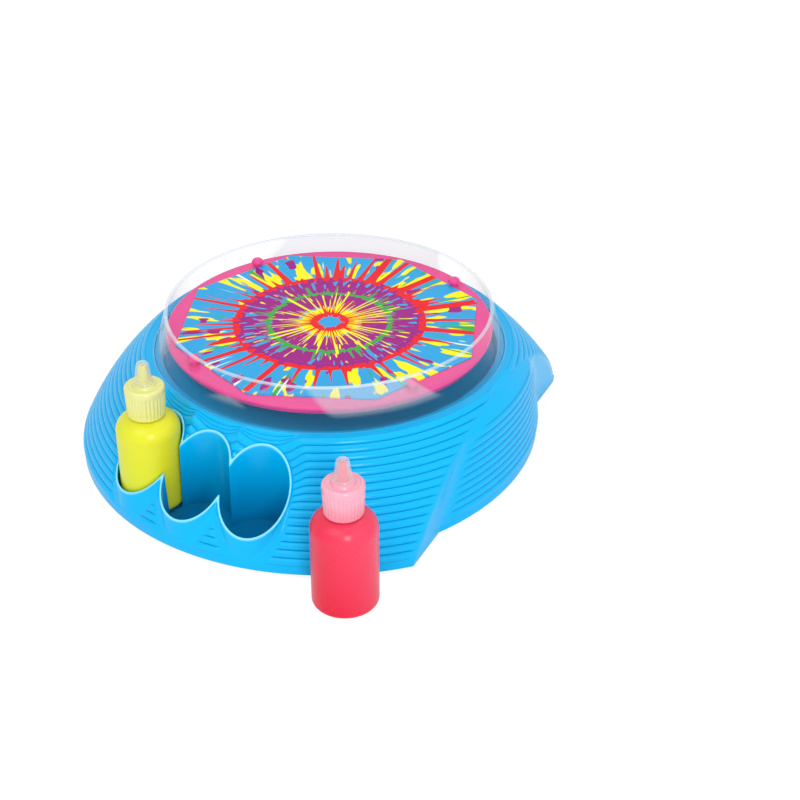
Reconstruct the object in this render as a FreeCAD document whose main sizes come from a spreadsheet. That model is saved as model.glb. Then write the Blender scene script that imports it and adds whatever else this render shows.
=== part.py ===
import FreeCAD, Part
import math
import os
import Sketcher

os.makedirs("parts", exist_ok=True)
doc = FreeCAD.newDocument("SpinArtMachine")
Vector = FreeCAD.Vector
Z_AXIS = Vector(0, 0, 1)

# Driving sizes in millimetres and degrees, heights measured up from the table
SIZES = [
    ("base_radius", "=ring_radius + dome_spread", "dome at its foot"),
    ("dome_spread", 37.0, "dome's foot beyond the ring"),
    ("base_lift", 1.2, "gap between the shell's rim and the table"),
    ("skirt_height", 5.0, "plain band below the lowest rib"),
    ("ring_radius", "=ledge_radius + ring_width", "smooth ring round the well, where the ribs begin"),
    ("ring_width", 4.4, "smooth ring outside the splash guard"),
    ("ring_height", 56.0, "top of the smooth ring"),
    ("dome_bulge", 3.2, "how far the dome swells past a straight cone"),
    ("rib_count", 16, "ribs down the dome"),
    ("rib_depth", 0.9, "how far a rib stands out"),
    ("shell_wall", 2.2, "moulded wall of the base shell"),
    ("well_radius", "=tray_radius + well_gap", "wall of the well"),
    ("well_gap", 2.5, "gap between the tray's rim and the wall of the well"),
    ("well_floor_height", "=ring_height - well_depth", "floor of the well"),
    ("well_depth", 8.0, "depth of the well"),
    ("ledge_radius", "=well_radius + ledge_width", "rebate that the splash guard stands in"),
    ("ledge_width", 4.1, "width of that rebate"),
    ("ledge_height", "=ring_height - ledge_depth", "floor of that rebate"),
    ("ledge_depth", 1.5, "depth of that rebate"),
    ("scoop_angle", -25.0, "direction that the scoop faces"),
    ("scoop_distance", "=ring_radius - scoop_bite", "scoop wall from the axis, at the table"),
    ("scoop_bite", 4.0, "how far the scoop wall reaches under the ring, at the table"),
    ("scoop_lean", 6.0, "outward lean of the scoop wall"),
    ("drum_reach", "=drum_top_reach + drum_draft", "foot of the inner drum from the axis, in the scoop"),
    ("drum_draft", 4.2, "drum's foot beyond its top"),
    ("drum_top_reach", "=ring_radius + drum_spread", "top rib of the inner drum from the axis, in the scoop"),
    ("drum_spread", 8.7, "drum's top beyond the ring"),
    ("drum_offset", 28.0, "centre of the drum's curve behind the axis"),
    ("drum_top_height", "=ring_height - drum_drop", "where the drum's ribs begin"),
    ("drum_drop", 10.0, "drum's top rib below the ring"),
    ("drum_rib_count", 10, "ribs down the drum"),
    ("drum_rib_depth", 0.8, "how far a drum rib stands out"),
    ("cup_radius", "=bottle_radius + cup_gap", "bore of a bottle cup"),
    ("cup_gap", 1.2, "play of a bottle in its cup"),
    ("cup_orbit", "=ring_radius + cup_radius + cup_wall - cup_lap", "cup centres from the axis"),
    ("cup_lap", 0.8, "how far a cup wall reaches into the ring"),
    ("cup_spacing", "=2 * cup_radius - cup_merge", "from one cup centre to the next"),
    ("cup_merge", 1.4, "how far neighbouring cups run into each other"),
    ("cup_angle", -122.9, "direction of the middle cup"),
    ("cup_wall", 1.8, "wall round a cup"),
    ("cup_floor_height", 5.6, "floor of a cup"),
    ("cup_mouth_height", "=ring_height - mouth_drop", "mouth of a cup, at its centre"),
    ("mouth_drop", 21.1, "mouth of a cup below the ring"),
    ("cup_mouth_slope", 41.0, "slope of the mouth, outwards and down"),
    ("cover_thickness", 2.0, "bottom cover"),
    ("cover_gap", 0.3, "gap round the bottom cover"),
    ("rest_pad_radius", 17.0, "pad in the middle of the cover that meets the table"),
    ("foot_radius", 7.0, "rubber foot"),
    ("foot_orbit", "=drum_reach - foot_inset", "feet from the axis"),
    ("foot_inset", 14.0, "feet in from the drum's foot"),
    ("foot_recess", 0.8, "how deep a foot sits in the cover"),
    ("foot_count", 5, "rubber feet, and cover screws between them"),
    ("foot_angle", 25.0, "direction of the first foot"),
    ("cover_screw_orbit", 83.0, "cover screws from the axis"),
    ("cover_boss_radius", 3.8, "boss that a cover screw bites in"),
    ("screw_radius", 1.4, "shank of the self tapping screws"),
    ("screw_head_radius", 2.7, "head of the self tapping screws"),
    ("screw_head_height", 1.4, "head of the self tapping screws"),
    ("screw_bite", 9.0, "length of thread in a boss"),
    ("fit_gap", 0.05, "running clearance on a radius"),
    ("seat_gap", 0.3, "gap between loose parts that rest on each other"),
    ("tray_radius", 86.0, "turntable tray"),
    ("tray_height", "=ring_height + tray_rise", "top face of the tray"),
    ("tray_rise", 10.0, "tray above the ring"),
    ("tray_plate", 2.2, "thickness of the tray's plate"),
    ("tray_skirt", 4.6, "height of the tray's rim"),
    ("tray_draft", 1.7, "how far the rim draws in at its lower edge"),
    ("tray_rib_count", 8, "stiffening ribs under the tray"),
    ("card_radius", "=tray_radius - card_margin", "card, to its corners"),
    ("card_margin", 3.4, "corners of the card in from the tray's edge"),
    ("card_thickness", 0.6, "card"),
    ("card_turn", 17.8, "direction of one corner of the card"),
    ("peg_gap", 0.35, "gap between a peg's neck and the card"),
    ("peg_lag", 7.5, "how far a peg stands past the middle of its edge"),
    ("peg_neck_radius", 2.2, "neck of a peg"),
    ("peg_head_radius", 3.3, "head of a peg"),
    ("peg_height", 4.6, "peg above the tray"),
    ("guard_foot_radius", "=ledge_radius - seat_gap", "splash guard at its foot"),
    ("guard_top_radius", "=guard_foot_radius - guard_lean", "splash guard at its rim"),
    ("guard_lean", 6.4, "how far the splash guard draws in"),
    ("guard_height", 22.6, "splash guard, foot to rim"),
    ("guard_wall", 1.8, "wall of the splash guard"),
    ("spindle_radius", 2.0, "steel spindle"),
    ("spindle_low", "=plate_height - spindle_tail", "lower end of the spindle"),
    ("spindle_tail", 3.4, "spindle below the gearbox plate"),
    ("bush_wall", 2.0, "wall of both bushes"),
    ("collar_radius", 8.0, "boss round the upper bush"),
    ("collar_rise", 3.0, "boss above the well floor"),
    ("collar_drop", 2.4, "boss below the well floor"),
    ("washer_thickness", 0.8, "thrust washer"),
    ("washer_radius", 5.5, "thrust washer"),
    ("hub_flange_radius", 10.0, "flange of the drive hub"),
    ("hub_flange", 1.6, "flange of the drive hub"),
    ("hub_hex_radius", 7.0, "hexagon of the drive hub, to its corners"),
    ("hub_hex_height", 6.0, "hexagon of the drive hub"),
    ("socket_wall", 3.0, "tray's boss round the hexagon"),
    ("plate_thickness", 2.0, "gearbox plate"),
    ("plate_height", "=well_floor_height - plate_drop", "underside of the gearbox plate"),
    ("plate_drop", 16.0, "gearbox plate below the floor of the well"),
    ("plate_half_width", 31.0, "gearbox plate, half its width"),
    ("plate_front", 24.0, "gearbox plate in front of the spindle"),
    ("plate_back", 50.0, "gearbox plate behind the spindle"),
    ("post_radius", 3.6, "posts that carry the gearbox plate"),
    ("post_inset", 4.0, "posts from the edge of the plate"),
    ("coarse_module", 0.8, "teeth of the spindle stage"),
    ("fine_module", 0.6, "teeth of the motor stage"),
    ("spindle_teeth", 48, "spindle gear"),
    ("small_teeth", 12, "small wheel of the compound gear"),
    ("large_teeth", 42, "large wheel of the compound gear"),
    ("pinion_teeth", 10, "motor pinion"),
    ("gear_width", 4.2, "face of the spindle gear"),
    ("large_width", 3.0, "face of the large wheel"),
    ("gear_gap", 0.7, "gap between wheels and what they run past"),
    ("gear_hub_wall", 3.0, "hub of the spindle gear"),
    ("idler_radius", 1.5, "idler pin"),
    ("motor_angle", 150.0, "direction from the idler pin to the motor"),
    ("motor_radius", 10.1, "motor can"),
    ("motor_flat", 7.6, "flat sides of the can from its axis"),
    ("motor_length", 20.0, "motor can"),
    ("motor_cap_length", 5.0, "motor end cap"),
    ("motor_boss_radius", 3.0, "bearing boss on the can"),
    ("motor_boss_height", 1.6, "bearing boss on the can"),
    ("motor_shaft_radius", 1.0, "motor shaft"),
    ("motor_screw_orbit", 7.4, "motor screws from the motor's axis"),
    ("motor_screw_radius", 1.0, "motor screws"),
    ("cell_radius", 7.1, "AA cell"),
    ("cell_length", 49.0, "AA cell body"),
    ("cell_nub", 1.2, "terminal nub of a cell"),
    ("cell_pitch", "=2 * cell_radius + cell_gap", "cells side by side"),
    ("cell_gap", 0.6, "gap between cells"),
    ("cell_end_room", 5.0, "room for a contact spring"),
    ("battery_box_x", 45.0, "middle of the battery box"),
    ("battery_wall", 1.6, "walls of the battery box"),
    ("door_margin", 2.5, "rim that the battery door rests on"),
    ("door_screw_radius", 1.2, "battery door screw"),
    ("contact_thickness", 0.4, "contact plates"),
    ("contact_half", 5.0, "contact plates, half their width"),
    ("contact_wire", 0.4, "wire of a contact spring, radius"),
    ("spring_radius", 3.6, "contact spring at its contact plate"),
    ("button_angle", 90.0, "direction of the power button"),
    ("bezel_proud", 0.7, "bezel's face above the middle of the dome's slope"),
    ("button_radius", 10.0, "power button"),
    ("button_proud", 3.6, "button beyond its bezel"),
    ("button_travel", 2.5, "how far the button goes in"),
    ("bezel_wall", 3.6, "raised bezel round the button"),
    ("bezel_depth", 7.0, "depth of the bezel's bore"),
    ("switch_radius", 6.5, "switch body"),
    ("switch_depth", 9.0, "switch body behind its flange"),
    ("switch_flange", 1.6, "flange of the switch body"),
    ("stem_radius", 2.5, "stem of the button"),
    ("bottle_radius", 16.0, "paint bottle"),
    ("bottle_shoulder", 50.0, "bottle to the top of its shoulder"),
    ("bottle_wall", 1.0, "wall of the bottle"),
    ("bottle_round", "=bottle_radius - neck_radius - shoulder_flat", "round of the shoulder"),
    ("shoulder_flat", 0.6, "flat of the shoulder round the neck"),
    ("bottle_base_round", 3.0, "round of the bottle's foot"),
    ("neck_radius", 7.0, "neck of the bottle"),
    ("neck_height", 9.0, "neck above the shoulder"),
    ("paint_room", 6.0, "air above the paint"),
    ("cap_foot_radius", "=neck_radius + cap_wall", "cap at its skirt"),
    ("cap_wall", 2.3, "wall of the cap with its thread"),
    ("cap_top_radius", "=cap_foot_radius + cap_flare", "cap at its shoulder"),
    ("cap_flare", 0.8, "how far the cap widens upwards"),
    ("cap_height", 16.0, "cap, skirt to shoulder"),
    ("cap_round", 2.6, "round of the cap's shoulder"),
    ("cap_crown", 1.6, "rise of the crown inside the shoulder"),
    ("cap_roof", 2.0, "roof of the cap above the neck"),
    ("nozzle_radius", 3.3, "nozzle at its foot"),
    ("nozzle_tip_radius", 1.7, "nozzle at its tip"),
    ("nozzle_height", 9.6, "nozzle above the crown"),
    ("nozzle_bore", 0.9, "hole through the nozzle"),
    ("tip_radius", "=nozzle_radius + tip_wall", "tip cap at its skirt"),
    ("tip_wall", 1.4, "wall of the tip cap at its skirt"),
    ("tip_top_radius", "=nozzle_tip_radius + tip_top_wall", "tip cap near its top"),
    ("tip_top_wall", 1.9, "wall of the tip cap near its top"),
    ("tip_height", 12.0, "tip cap"),
    ("tip_roof", 1.6, "top of the tip cap above the nozzle"),
    ("bottle_stand_angle", -85.6, "direction of the bottle that stands in front"),
    ("bottle_stand_gap", 1.0, "gap between that bottle and the base"),
]

sheet = doc.addObject("Spreadsheet::Sheet", "Sizes")
for row, (alias, value, note) in enumerate(SIZES, 1):
    sheet.set("A%d" % row, alias)
    sheet.setAlias("B%d" % row, alias)
    sheet.set("C%d" % row, note)
for row, (alias, value, note) in enumerate(SIZES, 1):
    sheet.set("B%d" % row, str(value))
doc.recompute()


class Size:
    """A number from the sheet, or a sum of such numbers, kept with its FreeCAD expression."""

    def __init__(self, value, text):
        self.value = float(value)
        self.text = text

    def __float__(self):
        return self.value

    def __int__(self):
        return round(self.value)

    def __add__(self, other):
        return Size(self.value + float(other), "(%s + %s)" % (self.text, words(other)))

    def __radd__(self, other):
        return Size(float(other) + self.value, "(%s + %s)" % (words(other), self.text))

    def __sub__(self, other):
        return Size(self.value - float(other), "(%s - %s)" % (self.text, words(other)))

    def __rsub__(self, other):
        return Size(float(other) - self.value, "(%s - %s)" % (words(other), self.text))

    def __mul__(self, other):
        return Size(self.value * float(other), "(%s * %s)" % (self.text, words(other)))

    __rmul__ = __mul__

    def __truediv__(self, other):
        return Size(self.value / float(other), "(%s / %s)" % (self.text, words(other)))

    def __neg__(self):
        return Size(-self.value, "(0 - %s)" % self.text)


def words(number):
    return number.text if isinstance(number, Size) else repr(float(number))


def cosine(angle):
    return Size(math.cos(math.radians(float(angle))), "cos(%s)" % words(angle))


def sine(angle):
    return Size(math.sin(math.radians(float(angle))), "sin(%s)" % words(angle))


class Sheet:
    """Every driving size by name."""


given = Sheet()
for alias, value, note in SIZES:
    setattr(given, alias, Size(sheet.get(alias), "Sizes." + alias))


# Makers of bound solids
def bind(item, name, number):
    item.setExpression(name, words(number))


def place(item, x=0, y=0, z=0, turn=0):
    item.Placement = FreeCAD.Placement(Vector(float(x), float(y), float(z)), Z_AXIS, float(turn))
    for name, number in (("x", x), ("y", y), ("z", z)):
        if isinstance(number, Size):
            bind(item, "Placement.Base." + name, number)
    if isinstance(turn, Size):
        bind(item, "Placement.Rotation.Angle", turn)
    return item


def cylinder(name, radius, height, x=0, y=0, z=0):
    item = doc.addObject("Part::Cylinder", name)
    bind(item, "Radius", radius)
    bind(item, "Height", height)
    return place(item, x, y, z)


def prism(name, corners, radius, height, x=0, y=0, z=0, turn=0):
    item = doc.addObject("Part::Prism", name)
    item.Polygon = corners
    bind(item, "Circumradius", radius)
    bind(item, "Height", height)
    return place(item, x, y, z, turn)


def box(name, length, width, height, x, y, z, turn=0):
    """A box whose x and y are its lower corner."""
    item = doc.addObject("Part::Box", name)
    bind(item, "Length", length)
    bind(item, "Width", width)
    bind(item, "Height", height)
    return place(item, x, y, z, turn)


def cut(name, base, *tools):
    tool = tools[0]
    if len(tools) > 1:
        tool = fuse(name + "_tools", *tools)
    item = doc.addObject("Part::Cut", name)
    item.Base = base
    item.Tool = tool
    return item


def fuse(name, *pieces):
    item = doc.addObject("Part::MultiFuse", name)
    item.Shapes = list(pieces)
    return item


def group(name, *pieces):
    """Separate solids kept as one node."""
    item = doc.addObject("Part::Compound", name)
    item.Links = list(pieces)
    return item


def shaped(name, shape):
    item = doc.addObject("Part::Feature", name)
    item.Shape = shape
    return item


def lathe(name, corners, rounds=(), x=0, y=0, z=0):
    """A body turned about its own axis from (radius, height) corners, then rounded."""
    body = doc.addObject("PartDesign::Body", name)
    sketch = body.newObject("Sketcher::SketchObject", name + "_profile")
    plane = [face for face in body.Origin.OriginFeatures if face.Role == "XZ_Plane"][0]
    sketch.AttachmentSupport = [(plane, "")]
    sketch.MapMode = "FlatFace"
    count = len(corners)
    points = [Vector(float(radius), float(height), 0) for radius, height in corners]
    for i in range(count):
        sketch.addGeometry(Part.LineSegment(points[i], points[(i + 1) % count]))
    for i in range(count):
        sketch.addConstraint(Sketcher.Constraint("Coincident", i, 2, (i + 1) % count, 1))
    for i, corner in enumerate(corners):
        for kind, axis, number in (("DistanceX", -2, corner[0]), ("DistanceY", -1, corner[1])):
            if not isinstance(number, Size) and float(number) == 0:
                sketch.addConstraint(Sketcher.Constraint("PointOnObject", i, 1, axis))
                continue
            limit = sketch.addConstraint(Sketcher.Constraint(kind, -1, 1, i, 1, float(number)))
            if isinstance(number, Size):
                bind(sketch, "Constraints[%d]" % limit, number)
    turned = body.newObject("PartDesign::Revolution", name + "_turned")
    turned.Profile = sketch
    turned.ReferenceAxis = (sketch, ["V_Axis"])
    turned.Angle = 360
    doc.recompute()
    for step, (index, radius) in enumerate(rounds):
        below = body.Tip
        smooth = body.newObject("PartDesign::Fillet", "%s_round_%d" % (name, step))
        smooth.Base = (below, [ring_edge(below, corners[index])])
        bind(smooth, "Radius", radius)
        body.Tip = smooth
        doc.recompute()
    return place(body, x, y, z)


def ring_edge(feature, corner):
    """The name of the circular edge that a corner of the profile sweeps."""
    radius, height = float(corner[0]), float(corner[1])
    for number, edge in enumerate(feature.Shape.Edges, 1):
        curve = edge.Curve
        if not isinstance(curve, Part.Circle):
            continue
        if abs(curve.Radius - radius) < 0.01 and abs(curve.Center.z - height) < 0.01:
            return "Edge%d" % number
    raise ValueError("no ring at %.2f, %.2f" % (radius, height))


def tube(name, bore, radius, length, x=0, y=0, z=0):
    corners = [(bore, 0), (radius, 0), (radius, length), (bore, length)]
    return lathe(name, corners, x=x, y=y, z=z)


def polar(radius, angle, z=0.0):
    turn = math.radians(float(angle))
    return Vector(float(radius) * math.cos(turn), float(radius) * math.sin(turn), float(z))


def revolve(edges):
    """A solid of revolution from a closed run of edges in the XZ plane."""
    wire = Part.Wire(edges)
    return Part.Face(wire).revolve(Vector(0, 0, 0), Z_AXIS, 360)


def at(radius, height):
    return Vector(float(radius), 0, float(height))


def line(start, end):
    return Part.LineSegment(start, end).toShape()


def chain(points):
    return [line(start, end) for start, end in zip(points, points[1:])]


nodes = []


def node(name, item):
    item.Label = name
    nodes.append((name, item))
    return item


# Base shell: the ribbed dome
dome_top = at(given.ring_radius, given.ring_height)
dome_foot = at(given.base_radius, given.base_lift + given.skirt_height)
dome_middle = (dome_top + dome_foot) / 2
dome_slope = dome_foot - dome_top
dome_out = Vector(-dome_slope.z, 0, dome_slope.x).normalize()
dome_arc = Part.Arc(dome_top, dome_middle + dome_out * float(given.dome_bulge), dome_foot)


def points_along(curve, count):
    """Evenly spaced points from the start of a curve to its end."""
    first, last = curve.FirstParameter, curve.LastParameter
    return [curve.value(first + (last - first) * i / count) for i in range(count + 1)]


def ribbed(points, depth):
    """Convex beads from point to point, each standing out by the given depth."""
    beads = []
    for start, end in zip(points, points[1:]):
        step = end - start
        out = Vector(-step.z, 0, step.x).normalize() * depth
        beads.append(Part.Arc(start, (start + end) / 2 + out, end).toShape())
    return beads


def dome_solid(wall):
    """The dome as a full solid: ribbed at no wall, and smooth inside at a given wall."""
    curve = dome_arc
    lower = Vector(float(given.base_radius), 0, float(given.base_lift))
    if wall:
        shrink = -dome_out * wall
        curve = Part.Arc(dome_top + shrink, dome_middle + dome_out * float(given.dome_bulge) + shrink,
                         dome_foot + shrink)
        lower = Vector(curve.EndPoint.x, 0, float(given.base_lift) - 1)
    top = curve.StartPoint
    edges = ribbed(points_along(curve, int(given.rib_count)), float(given.rib_depth))
    if wall:
        edges = [curve.toShape()]
    low_axis, high_axis = Vector(0, 0, lower.z), Vector(0, 0, top.z)
    edges += [line(curve.EndPoint, lower), line(lower, low_axis)]
    edges += [line(low_axis, high_axis), line(high_axis, top)]
    return revolve(edges)


drum_centre = polar(-given.drum_offset, given.scoop_angle)


def drum_solid(wall):
    """The inner drum that the scoop bares: ribbed at no wall, smooth at a given wall."""
    crown = at(given.ring_radius + given.drum_offset - wall, given.ring_height - wall)
    top = at(given.drum_top_reach + given.drum_offset - wall, given.drum_top_height - wall / 2)
    foot = at(given.drum_reach + given.drum_offset - wall, given.base_lift + given.skirt_height)
    lower = at(given.drum_reach + given.drum_offset - wall, given.base_lift - (1 if wall else 0))
    side = Part.LineSegment(top, foot)
    edges = [line(top, foot)]
    if not wall:
        edges = ribbed(points_along(side, int(given.drum_rib_count)), float(given.drum_rib_depth))
    outline = [foot, lower, Vector(0, 0, lower.z), Vector(0, 0, crown.z), crown, top]
    return revolve(edges + chain(outline)).translated(drum_centre)


def behind_scoop(wall):
    """All the space behind the leaning wall of the scoop."""
    reach = 3 * float(given.base_radius)
    block = Part.makeBox(reach, 2 * reach, reach, Vector(-reach, -reach, -reach / 2))
    block.rotate(Vector(0, 0, 0), Vector(0, 1, 0), float(given.scoop_lean))
    block.translate(Vector(float(given.scoop_distance) - wall, 0, 0))
    block.rotate(Vector(0, 0, 0), Z_AXIS, float(given.scoop_angle))
    return block


cup_step = 2 * math.degrees(math.asin(float(given.cup_spacing) / 2 / float(given.cup_orbit)))
cup_angles = [float(given.cup_angle) + cup_step * i for i in (-1, 0, 1)]


def cup_cylinder(angle, radius, low):
    """A cup's cylinder from a height up to its sloping mouth."""
    height = 2 * float(given.ring_height)
    centre = polar(given.cup_orbit, angle)
    column = Part.makeCylinder(radius, height, Vector(centre.x, centre.y, low))
    size = 4 * height
    above = Part.makeBox(size, size, size, Vector(-size / 2, -size / 2, 0))
    above.rotate(Vector(0, 0, 0), Vector(0, 1, 0), float(given.cup_mouth_slope))
    above.rotate(Vector(0, 0, 0), Z_AXIS, angle)
    above.translate(Vector(centre.x, centre.y, float(given.cup_mouth_height)))
    return column.cut(above), above


def base_shell():
    wall = float(given.shell_wall)
    lift = float(given.base_lift)
    outer = dome_solid(0).common(behind_scoop(0).fuse(drum_solid(0)))
    hollow = dome_solid(wall).common(behind_scoop(wall).fuse(drum_solid(wall)))
    roof = float(given.well_floor_height) - wall
    hollow = hollow.cut(Part.makeCylinder(float(given.well_radius) + wall, 4 * roof, Vector(0, 0, roof)))
    ledge_roof = float(given.ledge_height) - wall
    hollow = hollow.cut(Part.makeCylinder(float(given.ledge_radius) + wall, roof, Vector(0, 0, ledge_roof)))
    pockets = []
    for angle in cup_angles:
        lobe, above = cup_cylinder(angle, float(given.cup_radius + given.cup_wall), lift)
        trim = Part.makeCylinder(float(given.cup_radius + given.cup_wall), 4 * roof, polar(given.cup_orbit, angle))
        outer = outer.cut(trim.common(above)).fuse(lobe)
        pocket_floor = float(given.cup_floor_height)
        wall_low = pocket_floor - float(given.cup_wall)
        inner_lobe, above = cup_cylinder(angle, float(given.cup_radius + given.cup_wall), wall_low)
        hollow = hollow.cut(inner_lobe).cut(trim.common(above))
        pockets.append(Part.makeCylinder(float(given.cup_radius), 4 * roof, polar(given.cup_orbit, angle, pocket_floor)))
    solid = outer.cut(hollow)
    solid = solid.cut(Part.makeCylinder(float(given.well_radius), 2 * roof, Vector(0, 0, roof + wall)))
    solid = solid.cut(Part.makeCylinder(float(given.ledge_radius), roof, Vector(0, 0, float(given.ledge_height))))
    for pocket in pockets:
        solid = solid.cut(pocket)
    return solid, roof


foot_step = 360.0 / int(given.foot_count)
foot_angles = [float(given.foot_angle) + foot_step * i for i in range(int(given.foot_count))]
screw_angles = [angle + foot_step / 2 for angle in foot_angles]
cover_low = given.base_lift
cover_top = cover_low + given.cover_thickness
boss_low = cover_top + given.fit_gap
plate_top = given.plate_height + given.plate_thickness
post_x = given.plate_half_width - given.post_inset
post_spots = [(side * post_x, y) for side in (-1, 1)
              for y in (given.post_inset - given.plate_front, given.plate_back - given.post_inset)]

# Power button: its place and direction on the back of the dome
button_way = polar(dome_out.x, given.button_angle, dome_out.z)
bezel_middle = dome_middle + dome_out * float(given.dome_bulge + given.bezel_proud)
bezel_face = polar(bezel_middle.x, given.button_angle, bezel_middle.z)


def along_button(distance):
    return bezel_face + button_way * float(distance)


def button_cylinder(radius, start, end):
    """A cylinder on the button's axis, between two distances from the bezel's face."""
    return Part.makeCylinder(float(radius), float(end) - float(start), along_button(start), button_way)


def finished_shell():
    solid, roof = base_shell()
    collar_low = given.well_floor_height - given.shell_wall - given.collar_drop
    collar_top = given.well_floor_height + given.collar_rise
    bush_bore = given.spindle_radius + given.bush_wall + given.fit_gap
    collar = Part.makeCylinder(float(given.collar_radius), float(collar_top - collar_low),
                               Vector(0, 0, float(collar_low)))
    solid = solid.fuse(collar)
    for angle in screw_angles:
        low = float(boss_low)
        boss = Part.makeCylinder(float(given.cover_boss_radius), roof - low + 0.5,
                                 polar(given.cover_screw_orbit, angle, low))
        bore = Part.makeCylinder(float(given.screw_radius + given.fit_gap), float(given.screw_bite) + 1,
                                 polar(given.cover_screw_orbit, angle, low))
        solid = solid.fuse(boss).cut(bore)
    for x, y in post_spots:
        low = Vector(float(x), float(y), float(plate_top + given.fit_gap))
        post = Part.makeCylinder(float(given.post_radius), roof - low.z + 0.5, low)
        bore = Part.makeCylinder(float(given.screw_radius + given.fit_gap), float(given.screw_bite) + 1, low)
        solid = solid.fuse(post).cut(bore)
    solid = solid.fuse(button_cylinder(given.button_radius + given.bezel_wall, -given.bezel_depth, 0))
    solid = solid.cut(button_cylinder(given.button_radius + given.seat_gap, -2 * given.bezel_depth,
                                      given.button_proud))
    solid = solid.cut(Part.makeCylinder(float(bush_bore), 4 * float(given.collar_radius),
                                        Vector(0, 0, float(collar_low) - 1)))
    return solid.removeSplitter()


node("base_shell", shaped("base_shell", finished_shell()))


# Bottom cover with its rest pad, foot recesses, screw holes and battery box
def cover_outline(shrink, low, high):
    """The inside of the shell's rim, drawn in all round by a gap."""
    wall = float(given.shell_wall + shrink)
    rim = Part.makeCylinder(float(given.base_radius) - wall, high - low, Vector(0, 0, low))
    drum = Part.makeCylinder(float(given.drum_reach + given.drum_offset) - wall, high - low,
                             drum_centre + Vector(0, 0, low))
    return rim.common(behind_scoop(wall).fuse(drum))


cell_axis = cover_top + given.fit_gap + given.cell_radius
cell_x = [given.battery_box_x + given.cell_pitch * i for i in (-1, 0, 1)]
box_inner_x = 3 * given.cell_pitch + 0.6
box_inner_y = given.cell_length + given.cell_nub + given.cell_end_room + 2 * given.contact_thickness
box_top = cell_axis + given.cell_radius + given.seat_gap
door_screw_y = box_inner_y / 2 + given.battery_wall + given.screw_head_radius + 1.0


def box_at(half_x, half_y, low, high):
    corner = Vector(float(given.battery_box_x) - half_x, -half_y, low)
    return Part.makeBox(2 * half_x, 2 * half_y, high - low, corner)


def bottom_cover():
    low, top = float(cover_low), float(cover_top)
    half_x, half_y = float(box_inner_x) / 2, float(box_inner_y) / 2
    wall = float(given.battery_wall)
    solid = cover_outline(given.cover_gap, low, top)
    solid = solid.fuse(Part.makeCylinder(float(given.rest_pad_radius), top, Vector(0, 0, 0)))
    solid = solid.fuse(box_at(half_x + wall, half_y + wall, low, float(box_top) + wall))
    solid = solid.cut(box_at(half_x, half_y, low - 1, float(box_top)))
    margin = float(given.door_margin)
    door_y = float(door_screw_y + given.screw_head_radius) + 1.5
    solid = solid.cut(box_at(half_x + margin, half_y + margin, low - 1, low + 1.0))
    tab_half = float(given.screw_head_radius) + 2.0
    solid = solid.cut(box_at(tab_half, door_y, low - 1, low + 1.0).common(
        box_at(tab_half, door_y, low - 1, top).translated(Vector(0, door_y, 0)).fuse(
            box_at(tab_half, half_y, low - 1, top))))
    boss = Part.makeCylinder(float(given.cover_boss_radius), 6.0,
                             Vector(float(given.battery_box_x), float(door_screw_y), low + 1.0))
    solid = solid.fuse(boss)
    solid = solid.cut(Part.makeCylinder(float(given.door_screw_radius + given.fit_gap), 7.0,
                                        Vector(float(given.battery_box_x), float(door_screw_y), low - 1)))
    for angle in foot_angles:
        solid = solid.cut(Part.makeCylinder(float(given.foot_radius + given.fit_gap), float(given.foot_recess) + 1,
                                            polar(given.foot_orbit, angle, low - 1)))
    for angle in screw_angles:
        hole = Part.makeCylinder(float(given.screw_radius + given.seat_gap), 2 * top,
                                 polar(given.cover_screw_orbit, angle, 0))
        solid = solid.cut(hole)
    return solid.removeSplitter()


node("bottom_cover", shaped("bottom_cover", bottom_cover()))


# Rubber feet pressed in the recesses of the cover
feet = []
for i in range(int(given.foot_count)):
    angle = given.foot_angle + foot_step * i
    feet.append(cylinder("foot_%d" % i, given.foot_radius, given.base_lift + given.foot_recess,
                         given.foot_orbit * cosine(angle), given.foot_orbit * sine(angle)))
node("rubber_feet", group("rubber_feet", *feet))


# Self tapping screws, head down, that end in a boss above
def screw(name, x, y, seat, head_radius, head, radius, length, up=1):
    """A pan head under a seat and its shank beyond the seat, upwards or downwards."""
    corners = [(0, -head), (head_radius, -head), (head_radius, 0), (radius, 0), (radius, length), (0, length)]
    item = lathe(name, corners, rounds=[(1, head / 2.5)], x=x, y=y, z=seat)
    if up < 0:
        item.Placement = FreeCAD.Placement(Vector(float(x), float(y), float(seat)), Vector(1, 0, 0), 180)
        for axis, number in (("x", x), ("y", y), ("z", seat)):
            if isinstance(number, Size):
                bind(item, "Placement.Base." + axis, number)
    return item


screws = []
for i in range(int(given.foot_count)):
    angle = given.foot_angle + foot_step * (i + 0.5)
    screws.append(screw("cover_screw_%d" % i, given.cover_screw_orbit * cosine(angle),
                        given.cover_screw_orbit * sine(angle), cover_low, given.screw_head_radius,
                        given.base_lift * 0.8, given.screw_radius, given.screw_bite + given.cover_thickness))
node("cover_screws", group("cover_screws", *screws))


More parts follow.
